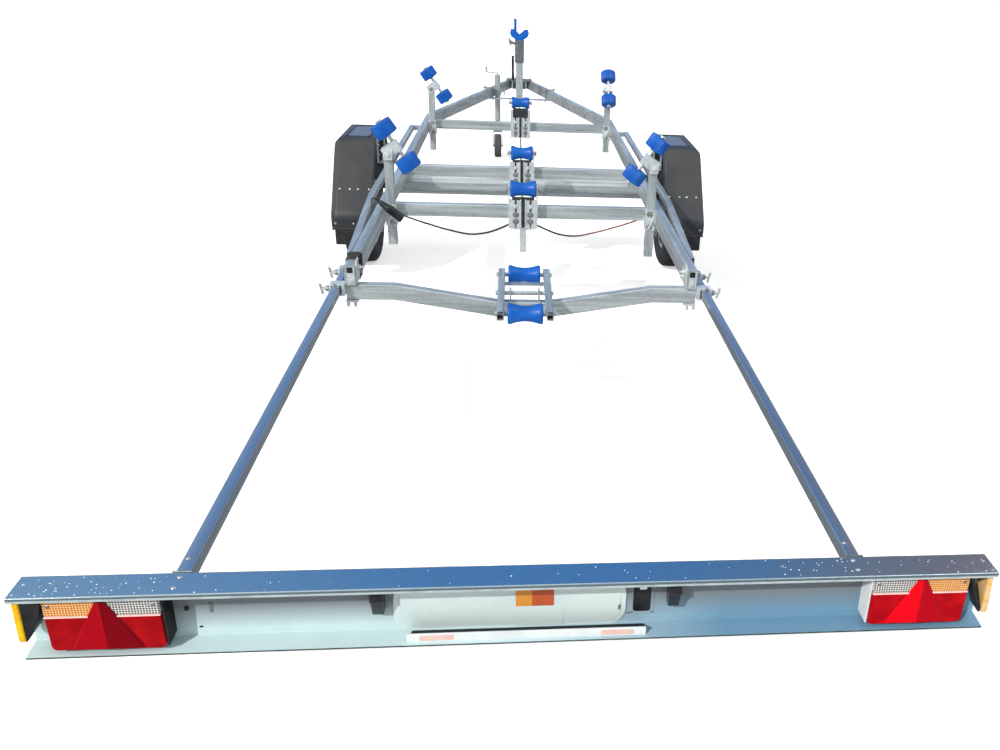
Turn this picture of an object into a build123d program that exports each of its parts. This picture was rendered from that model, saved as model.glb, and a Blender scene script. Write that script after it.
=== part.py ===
from build123d import *
import os
from math import cos, hypot, radians, sin, tan

# Boat trailer, single braked axle, galvanised steel.
# Frame: +X to the right, +Y forward (towards the coupling), +Z up, origin on the ground below the
# middle of the whole length. All sizes are millimetres. A station is a distance forward of the rear
# lip of the light board; at() turns it into Y.

# ---------------------------------------------------------------- driving dimensions
# stations, rear to front
RAIL_REAR = 1868.0          # rear ends of the side rails
BEAM_STATION = 1898.0       # centre of the rear vee beam
REAR_CROSS = 2840.0         # centres of the crossmembers
MID_CROSS = 3702.0
FRONT_CROSS = 5212.0
WHEEL_STATION = 3848.0
AXLE_STATION = 3948.0
BEND_STATION = 5448.0       # where the rails turn in to become the drawbar legs
TIE_STATION = 6953.0        # flat tie between the drawbar legs, which carries the winch post
JOCKEY_STATION = 7026.0
LEG_END = 7638.0            # front ends of the drawbar legs
BALL_STATION = 7958.0       # centre of the coupling's ball socket

# side rails and drawbar legs: rectangular tube
RAIL_TOP = 597.0
RAIL_H = 80.0
RAIL_W = 40.0
RAIL_WALL = 3.5
RAIL_CORNER = 6.0
RAIL_X = 652.0              # centre of a side rail from the trailer's centre plane
LEG_END_X = 85.0            # centre of a drawbar leg at its front end

# crossmembers
CROSS_H = 60.0
CROSS_W = 40.0
CROSS_WALL = 3.0

# rear vee beam
BEAM_H = 60.0
BEAM_W = 40.0
BEAM_WALL = 3.5
BEAM_SHORT = 0.5            # beam's ends inside the rails' outer faces
BEAM_KNEE = 137.0           # from a rail's inner face to the beam's knee
BEAM_FLAT_X = 100.0         # half of the level middle
BEAM_DROP = 64.0            # how far the middle lies below the ends
BEAM_PLATE_L = 68.0
BEAM_PLATE_T = 6.0
BEAM_BOLT_L = 24.0
BEAM_BOLT_R = 6.0
BEAM_BOLT_AT = 13.0         # bolts from the rail's middle
BEAM_BOLT_IN = 8.0          # bolts from the plate's edge

# mudguard bars beside the rails
BAR = 30.0
BAR_WALL = 2.5
BAR_CORNER = 4.0
BAR_OUT = 53.0              # centre of the bar outside the rail
BAR_REAR = 2072.0
BAR_TURN = 40.0             # how far behind BAR_REAR the bar leaves the rail
BAR_KNEE = 3008.0
BAR_FRONT = 4945.0

# wheels
TYRE_R = 290.0
TYRE_W = 165.0
TYRE_WALL = 12.0
RIM_R = 165.0               # bead seat radius of a 13 inch rim
RIM_W = 127.0
RIM_SHEET = 4.0
WHEEL_OUT = 228.0           # rail's outer face to a wheel's centre plane
BEAD_H = 18.0
SHOULDER_IN = 14.0          # where the side wall meets the shoulder
SHOULDER_DOWN = 16.0
TREAD_IN = 32.0             # where the shoulder meets the tread
TREAD_DOWN = 5.0
TREAD_T = 15.0
RIM_LIP = 16.0
WELL_DEPTH = 18.0
WELL_IN = -27.5             # rim's well, from the wheel's centre plane
WELL_OUT = 19.5
WELL_SLOPE = 10.0
DISC_T = 6.0
DISC_RISE = 34.0            # how far the disc's ring stands outboard
DISC_RING_R = 113.0
DISC_RING_W = 26.0
DISC_EDGE = 10.0            # disc's foot at the rim
HUB_R = 60.0
HUB_WALL = 6.0
HUB_IN = 12.0               # hub inboard of the wheel's centre plane
HUB_BORE_R = 30.0
CAP_R = 22.0
CAP_REACH = 52.0
CAP_FOOT = 16.0
HAND_HOLES = 8
HAND_HOLE_R = 11.0
HAND_HOLE_AT = 128.0        # radius of the ring of hand holes
DRUM_R = 112.0
DRUM_W = 56.0
DRUM_WALL = 16.0
DRUM_FIT = 4.0              # drum clear of its backplate
DRUM_SIDE = 96.0            # backplate's outer face from the wheel's centre plane
STUB_R = 17.0
STUB_REACH = 8.0            # stub beyond the wheel's centre plane

# axle and suspension
AXLE_Z = 427.0
AXLE_R = 52.0               # corner radius of the hexagonal axle tube
SWING_T = 26.0
SWING_R = 38.0
SPIGOT_R = 30.0
SPIGOT_L = 5.0              # axle tube's end to the swing arm
HUB_GAP = 32.0              # swing arm to the backplate
BACKPLATE_T = 6.0
BACKPLATE_LIP = 6.0         # backplate beyond the drum
SADDLE_L = 110.0
SADDLE_NECK_L = 80.0
SADDLE_T = 8.0
SADDLE_SIDE = 4.0           # saddle beyond the rail's faces
SADDLE_GRIP = 0.4           # how far up the axle tube it starts, as a part of AXLE_R

# mudguards: a folded side profile, as offsets from the wheel's centre
GUARD_GAP = 29.5            # tyre's inner side to the guard's inner wall
GUARD_OUT_GAP = 20.5        # tyre's outer side to the guard's outer wall
GUARD_ABOVE = 157.0         # guard's top above the tyre
GUARD_REAR = 470.0          # foot of the rear panel
GUARD_REAR_LOW = -50.0
GUARD_KNEE = 480.0          # widest point at the rear
GUARD_KNEE_Z = 96.0
GUARD_TOP_REAR = 196.0      # level top, behind and ahead of the centre
GUARD_TOP_FRONT = 250.0
GUARD_BROW = 452.0          # corner between the front's slope and its panel
GUARD_BROW_Z = 170.0
GUARD_FRONT = 486.0
GUARD_FRONT_LOW = 20.0
GUARD_SKIN = 4.0
GUARD_LIP = 48.0            # depth of the side lips
GUARD_CHAMFER = 42.0
FLAP_SIDE = 22.0            # flap inside the guard's walls
FLAP_T = 5.0
FLAP_LOW = 202.0            # flap's lower edge above the ground
FLAP_LAP = 40.0             # flap's overlap with the rear panel
GUARD_FOOT_REAR = 130.0     # brackets behind and ahead of the wheel's centre
GUARD_FOOT_FRONT = 150.0
GUARD_FOOT_L = 40.0
GUARD_FOOT_T = 5.0
GUARD_FOOT_BELOW = 10.0     # bracket's top below the guard's

# keel rollers
KEEL_L = 120.0
KEEL_R = 39.0
KEEL_WAIST = 29.0
KEEL_RIM = 12.0             # plain rim at each end
KEEL_BEVEL = 4.5
CRADLE_ROLLER_L = 130.0
SPINDLE_R = 8.0
RUNNING = 0.3               # radial clearance of a roller on its spindle
ROLLER_SIDE = 3.0           # clearance between a roller's end and what holds it

# keel roller brackets: folded channels behind the crossmembers
BRACKET_DEPTH = 50.0
BRACKET_T = 5.0
BRACKET_BELOW = 37.0        # how far a bracket reaches below its crossmember
BRACKET_ABOVE = 20.0        # cheeks above a roller's axis
BRACKET_TAIL = 30.0         # square tail tube of the rear bracket
TAIL_LAP = 90.0             # tail tube behind the web
TAIL_WALL = 3.0
SPINDLE_END = 8.0           # spindle beyond what it goes through
BRACKET_GAP = 6.0           # between a roller and the bracket's web

# rear cradle with two rollers, rocking on the vee beam
CRADLE_BAR_X = 91.0
CRADLE_BAR_W = 26.0
CRADLE_BAR_H = 36.0
CRADLE_HALF = 227.0         # from the pivot to each roller
CRADLE_TAIL = 26.0          # bar beyond a roller's centre
CRADLE_PIVOT_Z = 485.0
CRADLE_BAR_WALL = 2.5
STRIP_W = 30.0              # cross strip between the bars
STRIP_T = 5.0
STRIP_GAP = 16.0            # from the front roller to the strip
PIVOT_R = 8.0
PIVOT_LUG_X = 58.0
PIVOT_LUG_T = 6.0
PIVOT_LUG_L = 36.0
PIVOT_LUG_ABOVE = 16.0

# hull supports: posts in clamps, each with a rocking twin roller head
POST = 40.0
POST_WALL = 3.0
CLAMP_WALL = 5.0
CLAMP_H = 94.0
CLAMP_FIT = 0.3
CLAMP_OVER = 4.0            # clamp's top above the rail
CLAMP_BOLT = 34.0
POST_ABOVE_PIVOT = 20.0     # post's top above the head's pivot
HEAD_OFFSET = 43.0          # bar axis from the head pivot
HEAD_TILT = 55.5            # tilt of the bar at its stop
HEAD_ROLLER_R = 51.0
HEAD_ROLLER_L = 67.0
HEAD_ROLLER_BEVEL = 6.0
HEAD_ROLLER_AT = 89.5       # roller centres from the bar's middle
HEAD_BAR_R = 9.0
BAR_SUNK = 0.5              # bar let into the head's web
BAR_BEYOND = 9.0            # bar beyond its rollers
BAR_CAP_R = 15.0
BAR_CAP_T = 5.0
HEAD_PIN_R = 6.0
PIN_END = 8.0               # pin beyond its nuts' inner faces
NUT_R = 11.0
NUT_T = 7.0
CHEEK_T = 5.0
CHEEK_GAP = 0.5             # between a post's face and a cheek of its head
CHEEK_REACH = 26.0          # half length of a cheek along the bar
CHEEK_LOW = 22.0            # cheek beyond the pivot, away from the bar

# light board and its arms
BOARD_END = 43.0            # from a lamp's outer edge to the board's end
BOARD_TOP = 525.0
BOARD_DEPTH = 74.0
BOARD_H = 150.0
BOARD_T = 3.0
ARM = 35.0
ARM_WALL = 2.5
ARM_FRONT = 2088.0
ARM_TO_LIP = 12.0           # an arm stops this far short of the board's lip
ARM_SLOT = 0.3              # board's slot round an arm
SLEEVE_REAR = 1848.0        # rear edges of the two sleeves on a side
SLEEVE_FRONT = 2043.0
SLEEVE_L = 45.0
SLEEVE_PACKING = 12.0       # rail face to the arm, filled by a packing block
SLEEVE_WALL = 5.0
SLEEVE_FIT = 0.4
SLEEVE_BOLT = 36.0

# lamps on the board
LAMP_W = 234.0
LAMP_H = 126.0
LAMP_D = 40.0
LAMP_SIDE = 4.0             # from an arm's side to the lamp
LAMP_LIP = 3.0              # lamp body beyond its lens
LAMP_DOWN = 7.0             # lamp's middle below the board's
LENS_D = 14.0
MARKER_SIDE = 12.0          # from the board's end to the marker
MARKER_W = 24.0
MARKER_H = 104.0
MARKER_D = 26.0
PLATE_LAMP_GAP = 3.0        # from the holder's left edge to the plate lamp
PLATE_LAMP_W = 34.0
PLATE_LAMP_H = 58.0
PLATE_LAMP_D = 34.0
HOLDER_LEFT = 290.0         # holder's edges from the centre plane
HOLDER_RIGHT = 207.0
HOLDER_H = 86.0
HOLDER_T = 3.0
STRIP_LEFT = 260.0          # ledge under the holder, and the strip below it
STRIP_RIGHT = 250.0
STRIP_H = 24.0
LEDGE_D = 14.0
LEDGE_T = 4.0

# drawbar tie, winch post and bow stop
TIE_T = 8.0
TIE_W = 60.0
TIE_OVER = 73.0             # tie's ends beyond the legs' centres
FOOT_HALF = 70.0            # foot plate of the winch post
FOOT_T = 6.0
WINCH_POST = 60.0
WINCH_WALL = 3.0
WINCH_TUBE_TOP = 862.0
WINCH_FRAME_W = 78.0
WINCH_FRAME_T = 5.0
WINCH_FRAME_TOP = 1003.0
WINCH_FRAME_LOW = 820.0
WINCH_BOLT_DOWN = 30.0
WINCH_BAR = 56.0
FILLER = 26.0               # packing between the frame's sides and the post
STOP_W = 160.0
STOP_H = 84.0
STOP_T = 62.0
STOP_PRONG = 84.0
STOP_FOOT = 26.0            # half width of the stop's foot
STOP_SLANT = 12.0           # foot's slope inside the widest point
STOP_SLANT_Z = 26.0
STOP_WIDE_Z = 52.0
STOP_VEE_Z = 46.0
STOP_HORN = 28.0            # width of a horn's top
STOP_HORN_IN = 6.0
PRONG_IN = 24.0             # prong's inner edge from the centre plane
PRONG_W = 22.0
PRONG_BACK = 4.0
PRONG_LOW = 50.0

# coupling and overrun housing
HOUSING_H = 84.0
HOUSING_REAR = 7490.0
HOUSING_PLATE_X = 118.0
HOUSING_PLATE_T = 8.0
SHAFT_R = 25.0
BALL_R = 25.1               # socket for a 50 mm ball
HEAD_WALL = 9.0
SOCKET_DEPTH = 30.0
SOCKET_LOW = 34.0           # socket's mouth below the coupling's axis
HEAD_ABOVE = 4.0            # head's top below its own radius
COUPLING_Z = 560.0
HOUSING_SIDE = 2.0          # from a leg's inner face to the housing
HOUSING_BEHIND = 60.0       # housing behind and ahead of the legs' ends
HOUSING_AHEAD = 44.0
HOUSING_LAP = 10.0          # housing's neck within its body
NECK_HALF = 26.0
NECK_LOW = 24.0
NECK_L = 92.0
NOSE_HALF = 18.0
NOSE_LOW = 10.0
NOSE_HIGH = 8.0
NOSE_L = 25.0
HANDLE_R = 9.0
HANDLE_REACH = 96.0
HANDLE_Z = 84.0
GRIP_L = 66.0
GRIP_HALF = 14.0
GRIP_T = 18.0
BRAKE_LEVER_REAR = 72.0     # rod's lever behind the legs' ends
BRAKE_LEVER_T = 14.0
BRAKE_LEVER_HALF = 6.0
HAND_X = 58.0               # handbrake lever left of the centre plane
HAND_STATION = 7560.0
HAND_R = 9.0
HAND_FOOT_L = 60.0
HAND_FOOT_H = 34.0
# run of the hand lever: ahead of its foot's centre, above the housing's plate
HAND_CURVE = ((0.0, 20.0), (34.0, 90.0), (26.0, 150.0), (-20.0, 196.0))

# jockey wheel
JOCKEY_R = 24.0
JOCKEY_WALL = 2.5
JOCKEY_LOW = 316.0
JOCKEY_HIGH = 700.0
STEM_R = 20.8
JOCKEY_WHEEL_R = 100.0
JOCKEY_WHEEL_W = 60.0
JOCKEY_TRAIL = 45.0
JOCKEY_CLAMP_H = 60.0
JOCKEY_CLAMP_WALL = 7.0
JOCKEY_CLAMP_DOWN = 6.0     # clamp's top below the leg's
JOCKEY_ARM_HALF = 14.0      # half width of the clamp's arm
JOCKEY_CAP_T = 30.0         # solid head of the outer tube
JOCKEY_BOLT = 30.0
JOCKEY_BAR = 60.0
CRANK_R = 8.0
CRANK_RISE = 22.0
CRANK_OUT = 96.0
CRANK_AHEAD = 20.0
CRANK_ARM_R = 6.0
KNOB_R = 9.0
KNOB_L = 50.0
STEM_LAP = 214.0            # stem inside the outer tube
FORK_T = 5.0
FORK_SIDE = 5.0             # from the wheel's side to the fork
FORK_OVER = 22.0            # fork's top above the wheel
FORK_CROWN_T = 7.5
FORK_REAR = 32.0            # crown behind and ahead of the stem
FORK_AHEAD = 28.0
FORK_CHEEK = 18.0           # fork round the wheel's axle
FORK_CHEEK_AHEAD = 24.0
WHEEL_PIN_R = 6.0
WHEEL_HUB_R = 20.0
JOCKEY_WHEEL_WEB = 28.0

# brake rod and cables
ROD_R = 6.0
ROD_Z = 493.7
ROD_REAR = 3230.0
EQUALISER_T = 12.0
EQUALISER_H = 20.0
EQUALISER_SIDE = 14.0       # equaliser beyond the cables
ANCHOR_T = 6.0
ANCHOR_GAP = 24.0           # anchor plate ahead of the rear crossmember
ANCHOR_SIDE = 16.0
ANCHOR_LOW = 14.0
CABLE_START_X = 30.0
CABLE_R = 4.5
CABLE_TURN = 2930.0
CABLE_SIDE = 18.0           # cable's end inside the backplate
CABLE_BEHIND = 70.0
CABLE_ABOVE = 42.0
# right cable between its start and the backplate: X, station, height
CABLE_ROUTE = ((150.0, 2950.0, 432.0),
               (262.0, 3110.0, 368.0),
               (430.0, 3310.0, 348.0),
               (620.0, 3530.0, 342.0))

# lighting lead on the left rail, and its plug
LEAD_R = 3.0
LEAD_OFF = 0.3              # lead's surface from the rail
COIL_STATION = 1942.0
COIL_TURNS = 4
COIL_PITCH = 19.0
LEAD_HEIGHT = 34.0          # above the rail's underside, along its outer face
PLUG_STATION = 2690.0
PLUG_R = 21.0
PLUG_L = 126.0
PLUG_OVER = 34.0            # part of the plug that lies outboard of the rail's edge
PLUG_SLOPE = 38.0
PLUG_REST = 0.2             # plug's side from the rail's edge
PLUG_LEAD = 40.0            # straight lead behind the plug
LEAD_LEAVES = 60.0          # where the lead leaves the rail, behind the plug

# clamp bolts with a tommy bar
T_BAR = 70.0
T_BAR_R = 5.0
T_SHANK_R = 6.0
T_NUT = 9.0

SEAT = 0.3                  # between pieces that lie against each other

# ---------------------------------------------------------------- sizes that follow from the above
LENGTH = BALL_STATION + BALL_R + HEAD_WALL + NOSE_L
RAIL_LOW = RAIL_TOP - RAIL_H
RAIL_Z = RAIL_TOP - RAIL_H / 2
RAIL_IN = RAIL_X - RAIL_W / 2
RAIL_OUT = RAIL_X + RAIL_W / 2
BEAM_TOP = RAIL_LOW
BEAM_END_X = RAIL_OUT - BEAM_SHORT
BEAM_KNEE_X = RAIL_IN - BEAM_KNEE
BAR_X = RAIL_OUT + BAR_OUT
TRACK_X = RAIL_OUT + WHEEL_OUT
DRUM_X = TRACK_X - DRUM_SIDE
AXLE_HALF = DRUM_X - BACKPLATE_T - HUB_GAP - SWING_T - SPIGOT_L
GUARD_IN_X = TRACK_X - TYRE_W / 2 - GUARD_GAP
GUARD_W = TYRE_W + GUARD_GAP + GUARD_OUT_GAP
GUARD_TOP = 2 * TYRE_R + GUARD_ABOVE
POST_X = RAIL_IN - POST / 2 - CLAMP_WALL - CLAMP_FIT
ARM_TOP = BOARD_TOP - BOARD_T
ARM_Z = ARM_TOP - ARM / 2
ARM_X = RAIL_OUT + SLEEVE_PACKING + ARM / 2
LAMP_X = ARM_X + ARM / 2 + LAMP_SIDE + LAMP_W / 2
BOARD_W = 2 * (LAMP_X + LAMP_W / 2 + BOARD_END)
MARKER_X = BOARD_W / 2 - MARKER_SIDE - MARKER_W / 2
PLATE_LAMP_X = HOLDER_LEFT + PLATE_LAMP_GAP + PLATE_LAMP_W / 2
LEG_SLOPE = (RAIL_X - LEG_END_X) / (LEG_END - BEND_STATION)
SIDES = (("left", -1.0), ("right", 1.0))


def at(station):
    """Y of a station."""
    return station - LENGTH / 2


def leg_x(station):
    """X of the right drawbar leg's centre at a station."""
    return RAIL_X - (station - BEND_STATION) * LEG_SLOPE


def box(x0, x1, y0, y1, z0, z1):
    """Box between two corners."""
    size = (abs(x1 - x0), abs(y1 - y0), abs(z1 - z0))
    return Pos((x0 + x1) / 2, (y0 + y1) / 2, (z0 + z1) / 2) * Box(*size)


def rod(start, end, radius):
    """Round bar between two points."""
    start, end = Vector(*start), Vector(*end)
    axis = end - start
    return extrude(Plane(origin=start, z_dir=axis) * Circle(radius), axis.length)


def side_of(direction):
    """Level direction square to a run; +X for an upright run."""
    flat = Vector(direction.Y, -direction.X, 0)
    return flat.normalized() if flat.length > 1e-6 else Vector(1, 0, 0)


def tube(start, end, width, height, wall, corner):
    """Rectangular tube between two points, height upwards; wall 0 makes it solid."""
    start, end = Vector(*start), Vector(*end)
    axis = end - start
    plane = Plane(origin=start, x_dir=side_of(axis), z_dir=axis)
    section = RectangleRounded(width, height, corner)
    if wall:
        section -= Rectangle(width - 2 * wall, height - 2 * wall)
    return extrude(plane * section, axis.length)


def mitred(points, width, height, wall, corner):
    """Straight tubes along a list of points, each cut on the bisecting plane of its corners."""
    points = [Vector(*p) for p in points]
    runs = []
    for i in range(len(points) - 1):
        a, b = points[i], points[i + 1]
        d = (b - a).normalized()
        first, last = i == 0, i == len(points) - 2
        extra = width + height
        run = tube(a if first else a - d * extra, b if last else b + d * extra, width, height, wall, corner)
        if not first:
            before = (a - points[i - 1]).normalized()
            run = split(run, Plane(origin=a, z_dir=before + d), keep=Keep.TOP)
        if not last:
            after = (points[i + 2] - b).normalized()
            run = split(run, Plane(origin=b, z_dir=d + after), keep=Keep.BOTTOM)
        runs.append(run)
    return runs


def joined(pieces):
    """Fuse pieces that touch into one solid."""
    whole = pieces[0]
    for piece in pieces[1:]:
        whole = whole + piece
    return whole


def mirrored(piece):
    """The other side's piece."""
    return mirror(piece, about=Plane.YZ)


def both(piece):
    """A right-hand piece and its mirror image."""
    return [mirrored(piece), piece]


def t_bolt(origin, direction, reach, bar_axis, bar_length=T_BAR):
    """Clamp bolt with a tommy bar: a shank out of origin and a bar across its end."""
    o, d, b = Vector(*origin), Vector(*direction), Vector(*bar_axis)
    tip = o + d * reach
    nut = extrude(Plane(origin=o, z_dir=d) * RegularPolygon(NUT_R, 6), T_NUT)
    shank = rod(o, tip, T_SHANK_R)
    bar = rod(tip - b * bar_length / 2, tip + b * bar_length / 2, T_BAR_R)
    return nut + shank + bar


# ---------------------------------------------------------------- frame
def side_members():
    """Side rails and drawbar legs, mitred where they meet."""
    path = [(RAIL_X, at(RAIL_REAR), RAIL_Z), (RAIL_X, at(BEND_STATION), RAIL_Z),
            (LEG_END_X, at(LEG_END), RAIL_Z)]
    rail, leg = mitred(path, RAIL_W, RAIL_H, RAIL_WALL, RAIL_CORNER)
    return {"side_rails": both(rail), "drawbar_legs": both(leg)}


def crossmembers():
    """Three level tubes between the rails, flush with their tops."""
    z = RAIL_TOP - CROSS_H / 2
    return [tube((-RAIL_IN, at(s), z), (RAIL_IN, at(s), z), CROSS_W, CROSS_H, CROSS_WALL, 5)
            for s in (REAR_CROSS, MID_CROSS, FRONT_CROSS)]


def vee_beam():
    """Bent beam under the rails' rear ends, lower in the middle, with the cradle's two lugs."""
    y, top = at(BEAM_STATION), BEAM_TOP - BEAM_H / 2
    low = top - BEAM_DROP
    path = [(-BEAM_END_X, y, top), (-BEAM_KNEE_X, y, top), (-BEAM_FLAT_X, y, low),
            (BEAM_FLAT_X, y, low), (BEAM_KNEE_X, y, top), (BEAM_END_X, y, top)]
    beam = joined(mitred(path, BEAM_W, BEAM_H, BEAM_WALL, 5))
    half = PIVOT_LUG_L / 2
    lug = box(PIVOT_LUG_X - PIVOT_LUG_T, PIVOT_LUG_X, y - half, y + half, low + BEAM_H / 2,
              CRADLE_PIVOT_Z + PIVOT_LUG_ABOVE)
    lug -= rod((0, y, CRADLE_PIVOT_Z), (PIVOT_LUG_X, y, CRADLE_PIVOT_Z), PIVOT_R + RUNNING)
    return beam + lug + mirrored(lug)


def beam_clamps():
    """Angle plate over each rail end with the bolts that hang below the beam."""
    y, low = at(BEAM_STATION), BEAM_TOP - BEAM_H
    half = BEAM_PLATE_L / 2
    plate = box(RAIL_IN - BEAM_PLATE_T, RAIL_OUT, y - half, y + half, low - BEAM_PLATE_T, low)
    bolts = [rod((x, y + dy, low - BEAM_BOLT_L), (x, y + dy, low - BEAM_PLATE_T), BEAM_BOLT_R)
             for x in (RAIL_X - BEAM_BOLT_AT, RAIL_X + BEAM_BOLT_AT)
             for dy in (BEAM_BOLT_IN - half, half - BEAM_BOLT_IN)]
    return both(joined([plate] + bolts))


def mudguard_bars():
    """Square bars outside the rails that carry the mudguards."""
    z = RAIL_TOP - BAR / 2
    path = [(RAIL_OUT, at(BAR_REAR) - BAR_TURN, z), (BAR_X, at(BAR_KNEE), z), (BAR_X, at(BAR_FRONT), z),
            (RAIL_X, at(BAR_FRONT), z)]
    bar = joined(mitred(path, BAR, BAR, BAR_WALL, BAR_CORNER))
    inside_rail = box(0, RAIL_OUT, at(0), at(LENGTH), RAIL_LOW, RAIL_TOP)
    return both(bar - inside_rail)


# ---------------------------------------------------------------- axle, wheels and brakes
def axle():
    """Hexagonal torsion tube, its saddles, the trailing arms with stub axles, and the backplates."""
    y, yw = at(AXLE_STATION), at(WHEEL_STATION)
    plane = Plane(origin=(-AXLE_HALF, y, AXLE_Z), x_dir=(0, 0, 1), z_dir=(1, 0, 0))
    beam = extrude(plane * RegularPolygon(AXLE_R, 6), 2 * AXLE_HALF)
    x0, x1 = RAIL_IN - SADDLE_SIDE, RAIL_OUT + SADDLE_SIDE
    flange = RAIL_LOW - SADDLE_T
    half, neck = SADDLE_L / 2, SADDLE_NECK_L / 2
    saddle = box(x0, x1, y - half, y + half, flange, RAIL_LOW)
    saddle += box(x0, x1, y - neck, y + neck, AXLE_Z + AXLE_R * SADDLE_GRIP, flange)
    saddle -= beam
    arm_x = AXLE_HALF + SPIGOT_L
    run = Vector(0, yw - y, TYRE_R - AXLE_Z)
    plane = Plane(origin=(arm_x, (y + yw) / 2, (AXLE_Z + TYRE_R) / 2), x_dir=run, z_dir=(1, 0, 0))
    arm = extrude(plane * SlotCenterToCenter(run.length, 2 * SWING_R), SWING_T)
    arm += rod((AXLE_HALF, y, AXLE_Z), (arm_x, y, AXLE_Z), SPIGOT_R)
    plate_x = DRUM_X - BACKPLATE_T
    arm += rod((arm_x + SWING_T, yw, TYRE_R), (plate_x, yw, TYRE_R), SPIGOT_R)
    arm += rod((plate_x, yw, TYRE_R), (TRACK_X + STUB_REACH, yw, TYRE_R), STUB_R)
    plate = rod((plate_x, yw, TYRE_R), (DRUM_X, yw, TYRE_R), DRUM_R + BACKPLATE_LIP)
    plate -= rod((plate_x, yw, TYRE_R), (DRUM_X, yw, TYRE_R), STUB_R)
    return {"axle_tube": [beam], "axle_saddles": both(saddle), "swing_arms": both(arm),
            "brake_backplates": both(plate)}


def tyre():
    """Tyre carcass: tread band, round shoulders, bulged walls and beads, open towards the rim."""
    half, seat = TYRE_W / 2, RIM_R + SEAT
    bead = RIM_W / 2 - RIM_SHEET - SEAT
    inside = bead - TYRE_WALL
    wide = (RIM_R + TYRE_R) / 2
    wall, side = half - SHOULDER_IN, TYRE_R - SHOULDER_DOWN
    band, edge = half - TREAD_IN, TYRE_R - TREAD_DOWN
    bend, corner = half - SHOULDER_IN * 1.5, TYRE_R - TREAD_DOWN * 1.8
    inner, crown = half - SHOULDER_IN - TYRE_WALL, TYRE_R - TREAD_T - TREAD_DOWN * 1.8
    with BuildSketch(Plane.XZ) as s:
        with BuildLine():
            l1 = Line((bead, seat), (bead, seat + BEAD_H))
            l2 = ThreePointArc(l1 @ 1, (half, wide), (wall, side))
            l3 = ThreePointArc(l2 @ 1, (bend, corner), (band, edge))
            l4 = ThreePointArc(l3 @ 1, (0, TYRE_R), (-band, edge))
            l5 = ThreePointArc(l4 @ 1, (-bend, corner), (-wall, side))
            l6 = ThreePointArc(l5 @ 1, (-half, wide), (-bead, seat + BEAD_H))
            l7 = Polyline(l6 @ 1, (-bead, seat), (-inside, seat), (-inside, seat + BEAD_H))
            l8 = ThreePointArc(l7 @ 1, (-half + TYRE_WALL, wide), (-inner, crown))
            l9 = ThreePointArc(l8 @ 1, (0, TYRE_R - TREAD_T), (inner, crown))
            l10 = ThreePointArc(l9 @ 1, (half - TYRE_WALL, wide), (inside, seat + BEAD_H))
            Polyline(l10 @ 1, (inside, seat), (bead, seat))
        make_face()
    return Pos(TRACK_X, at(WHEEL_STATION), TYRE_R) * revolve(s.sketch, Axis.X)


def rim():
    """Pressed steel wheel: rolled rim, dished disc with hand holes, hub with cap, and brake drum."""
    half, r, t = RIM_W / 2, RIM_R, RIM_SHEET
    lip, well = r + RIM_LIP, r - WELL_DEPTH
    well_in, well_out = WELL_IN - WELL_SLOPE, WELL_OUT + WELL_SLOPE
    # each pair is a distance outboard of the wheel's centre plane and a radius
    outline = [(-half, lip), (-half, r - t), (well_in, r - t), (WELL_IN, well),
               (WELL_OUT, well), (well_out, r - t), (half, r - t), (half, lip),
               (half - t, lip), (half - t, r), (well_out - t, r), (WELL_OUT - t, well + t),
               (WELL_IN + t, well + t), (well_in + t, r), (-half + t, r), (-half + t, lip)]
    foot, root, ring = r - RIM_LIP, DISC_RING_R - DISC_RING_W, DISC_RING_R
    disc = [(DISC_T, HUB_BORE_R), (DISC_RISE, root), (DISC_RISE, ring), (DISC_EDGE, foot),
            (DISC_EDGE + DISC_T, foot), (DISC_RISE + DISC_T, ring), (DISC_RISE + DISC_T, root),
            (2 * DISC_T, HUB_BORE_R)]
    bore, boss = STUB_R + RUNNING, HUB_BORE_R + HUB_WALL
    closed = STUB_REACH + 1
    hub = [(-HUB_IN, bore), (closed, bore), (closed, 0), (CAP_REACH, 0), (CAP_REACH, CAP_R),
           (CAP_REACH - HUB_WALL, CAP_R + HUB_WALL), (CAP_FOOT, boss), (2 * DISC_T, boss),
           (2 * DISC_T, HUB_R), (0, HUB_R), (0, boss), (-HUB_IN, boss)]
    drum_in = DRUM_X - TRACK_X + DRUM_FIT
    drum_out = drum_in + DRUM_W
    inner = DRUM_R - DRUM_WALL
    drum = [(drum_in, inner), (drum_in, DRUM_R), (drum_out, DRUM_R), (drum_out + HUB_IN, HUB_R + HUB_WALL),
            (0, boss + HUB_WALL), (0, HUB_BORE_R), (-HUB_IN, HUB_BORE_R), (drum_out, HUB_R),
            (drum_out - RIM_SHEET, inner)]
    body = None
    for points in (outline, disc, hub, drum):
        face = Plane.XZ * make_face(Polyline(*points, close=True))
        ring = revolve(face, Axis.X)
        body = ring if body is None else body + ring
    hole = Cylinder(HAND_HOLE_R, 2 * DISC_RISE, rotation=(0, 90, 0))
    for k in range(HAND_HOLES):
        angle = radians(k * 360 / HAND_HOLES)
        body -= Pos(DISC_RISE, HAND_HOLE_AT * cos(angle), HAND_HOLE_AT * sin(angle)) * hole
    return Pos(TRACK_X, at(WHEEL_STATION), TYRE_R) * body


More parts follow.
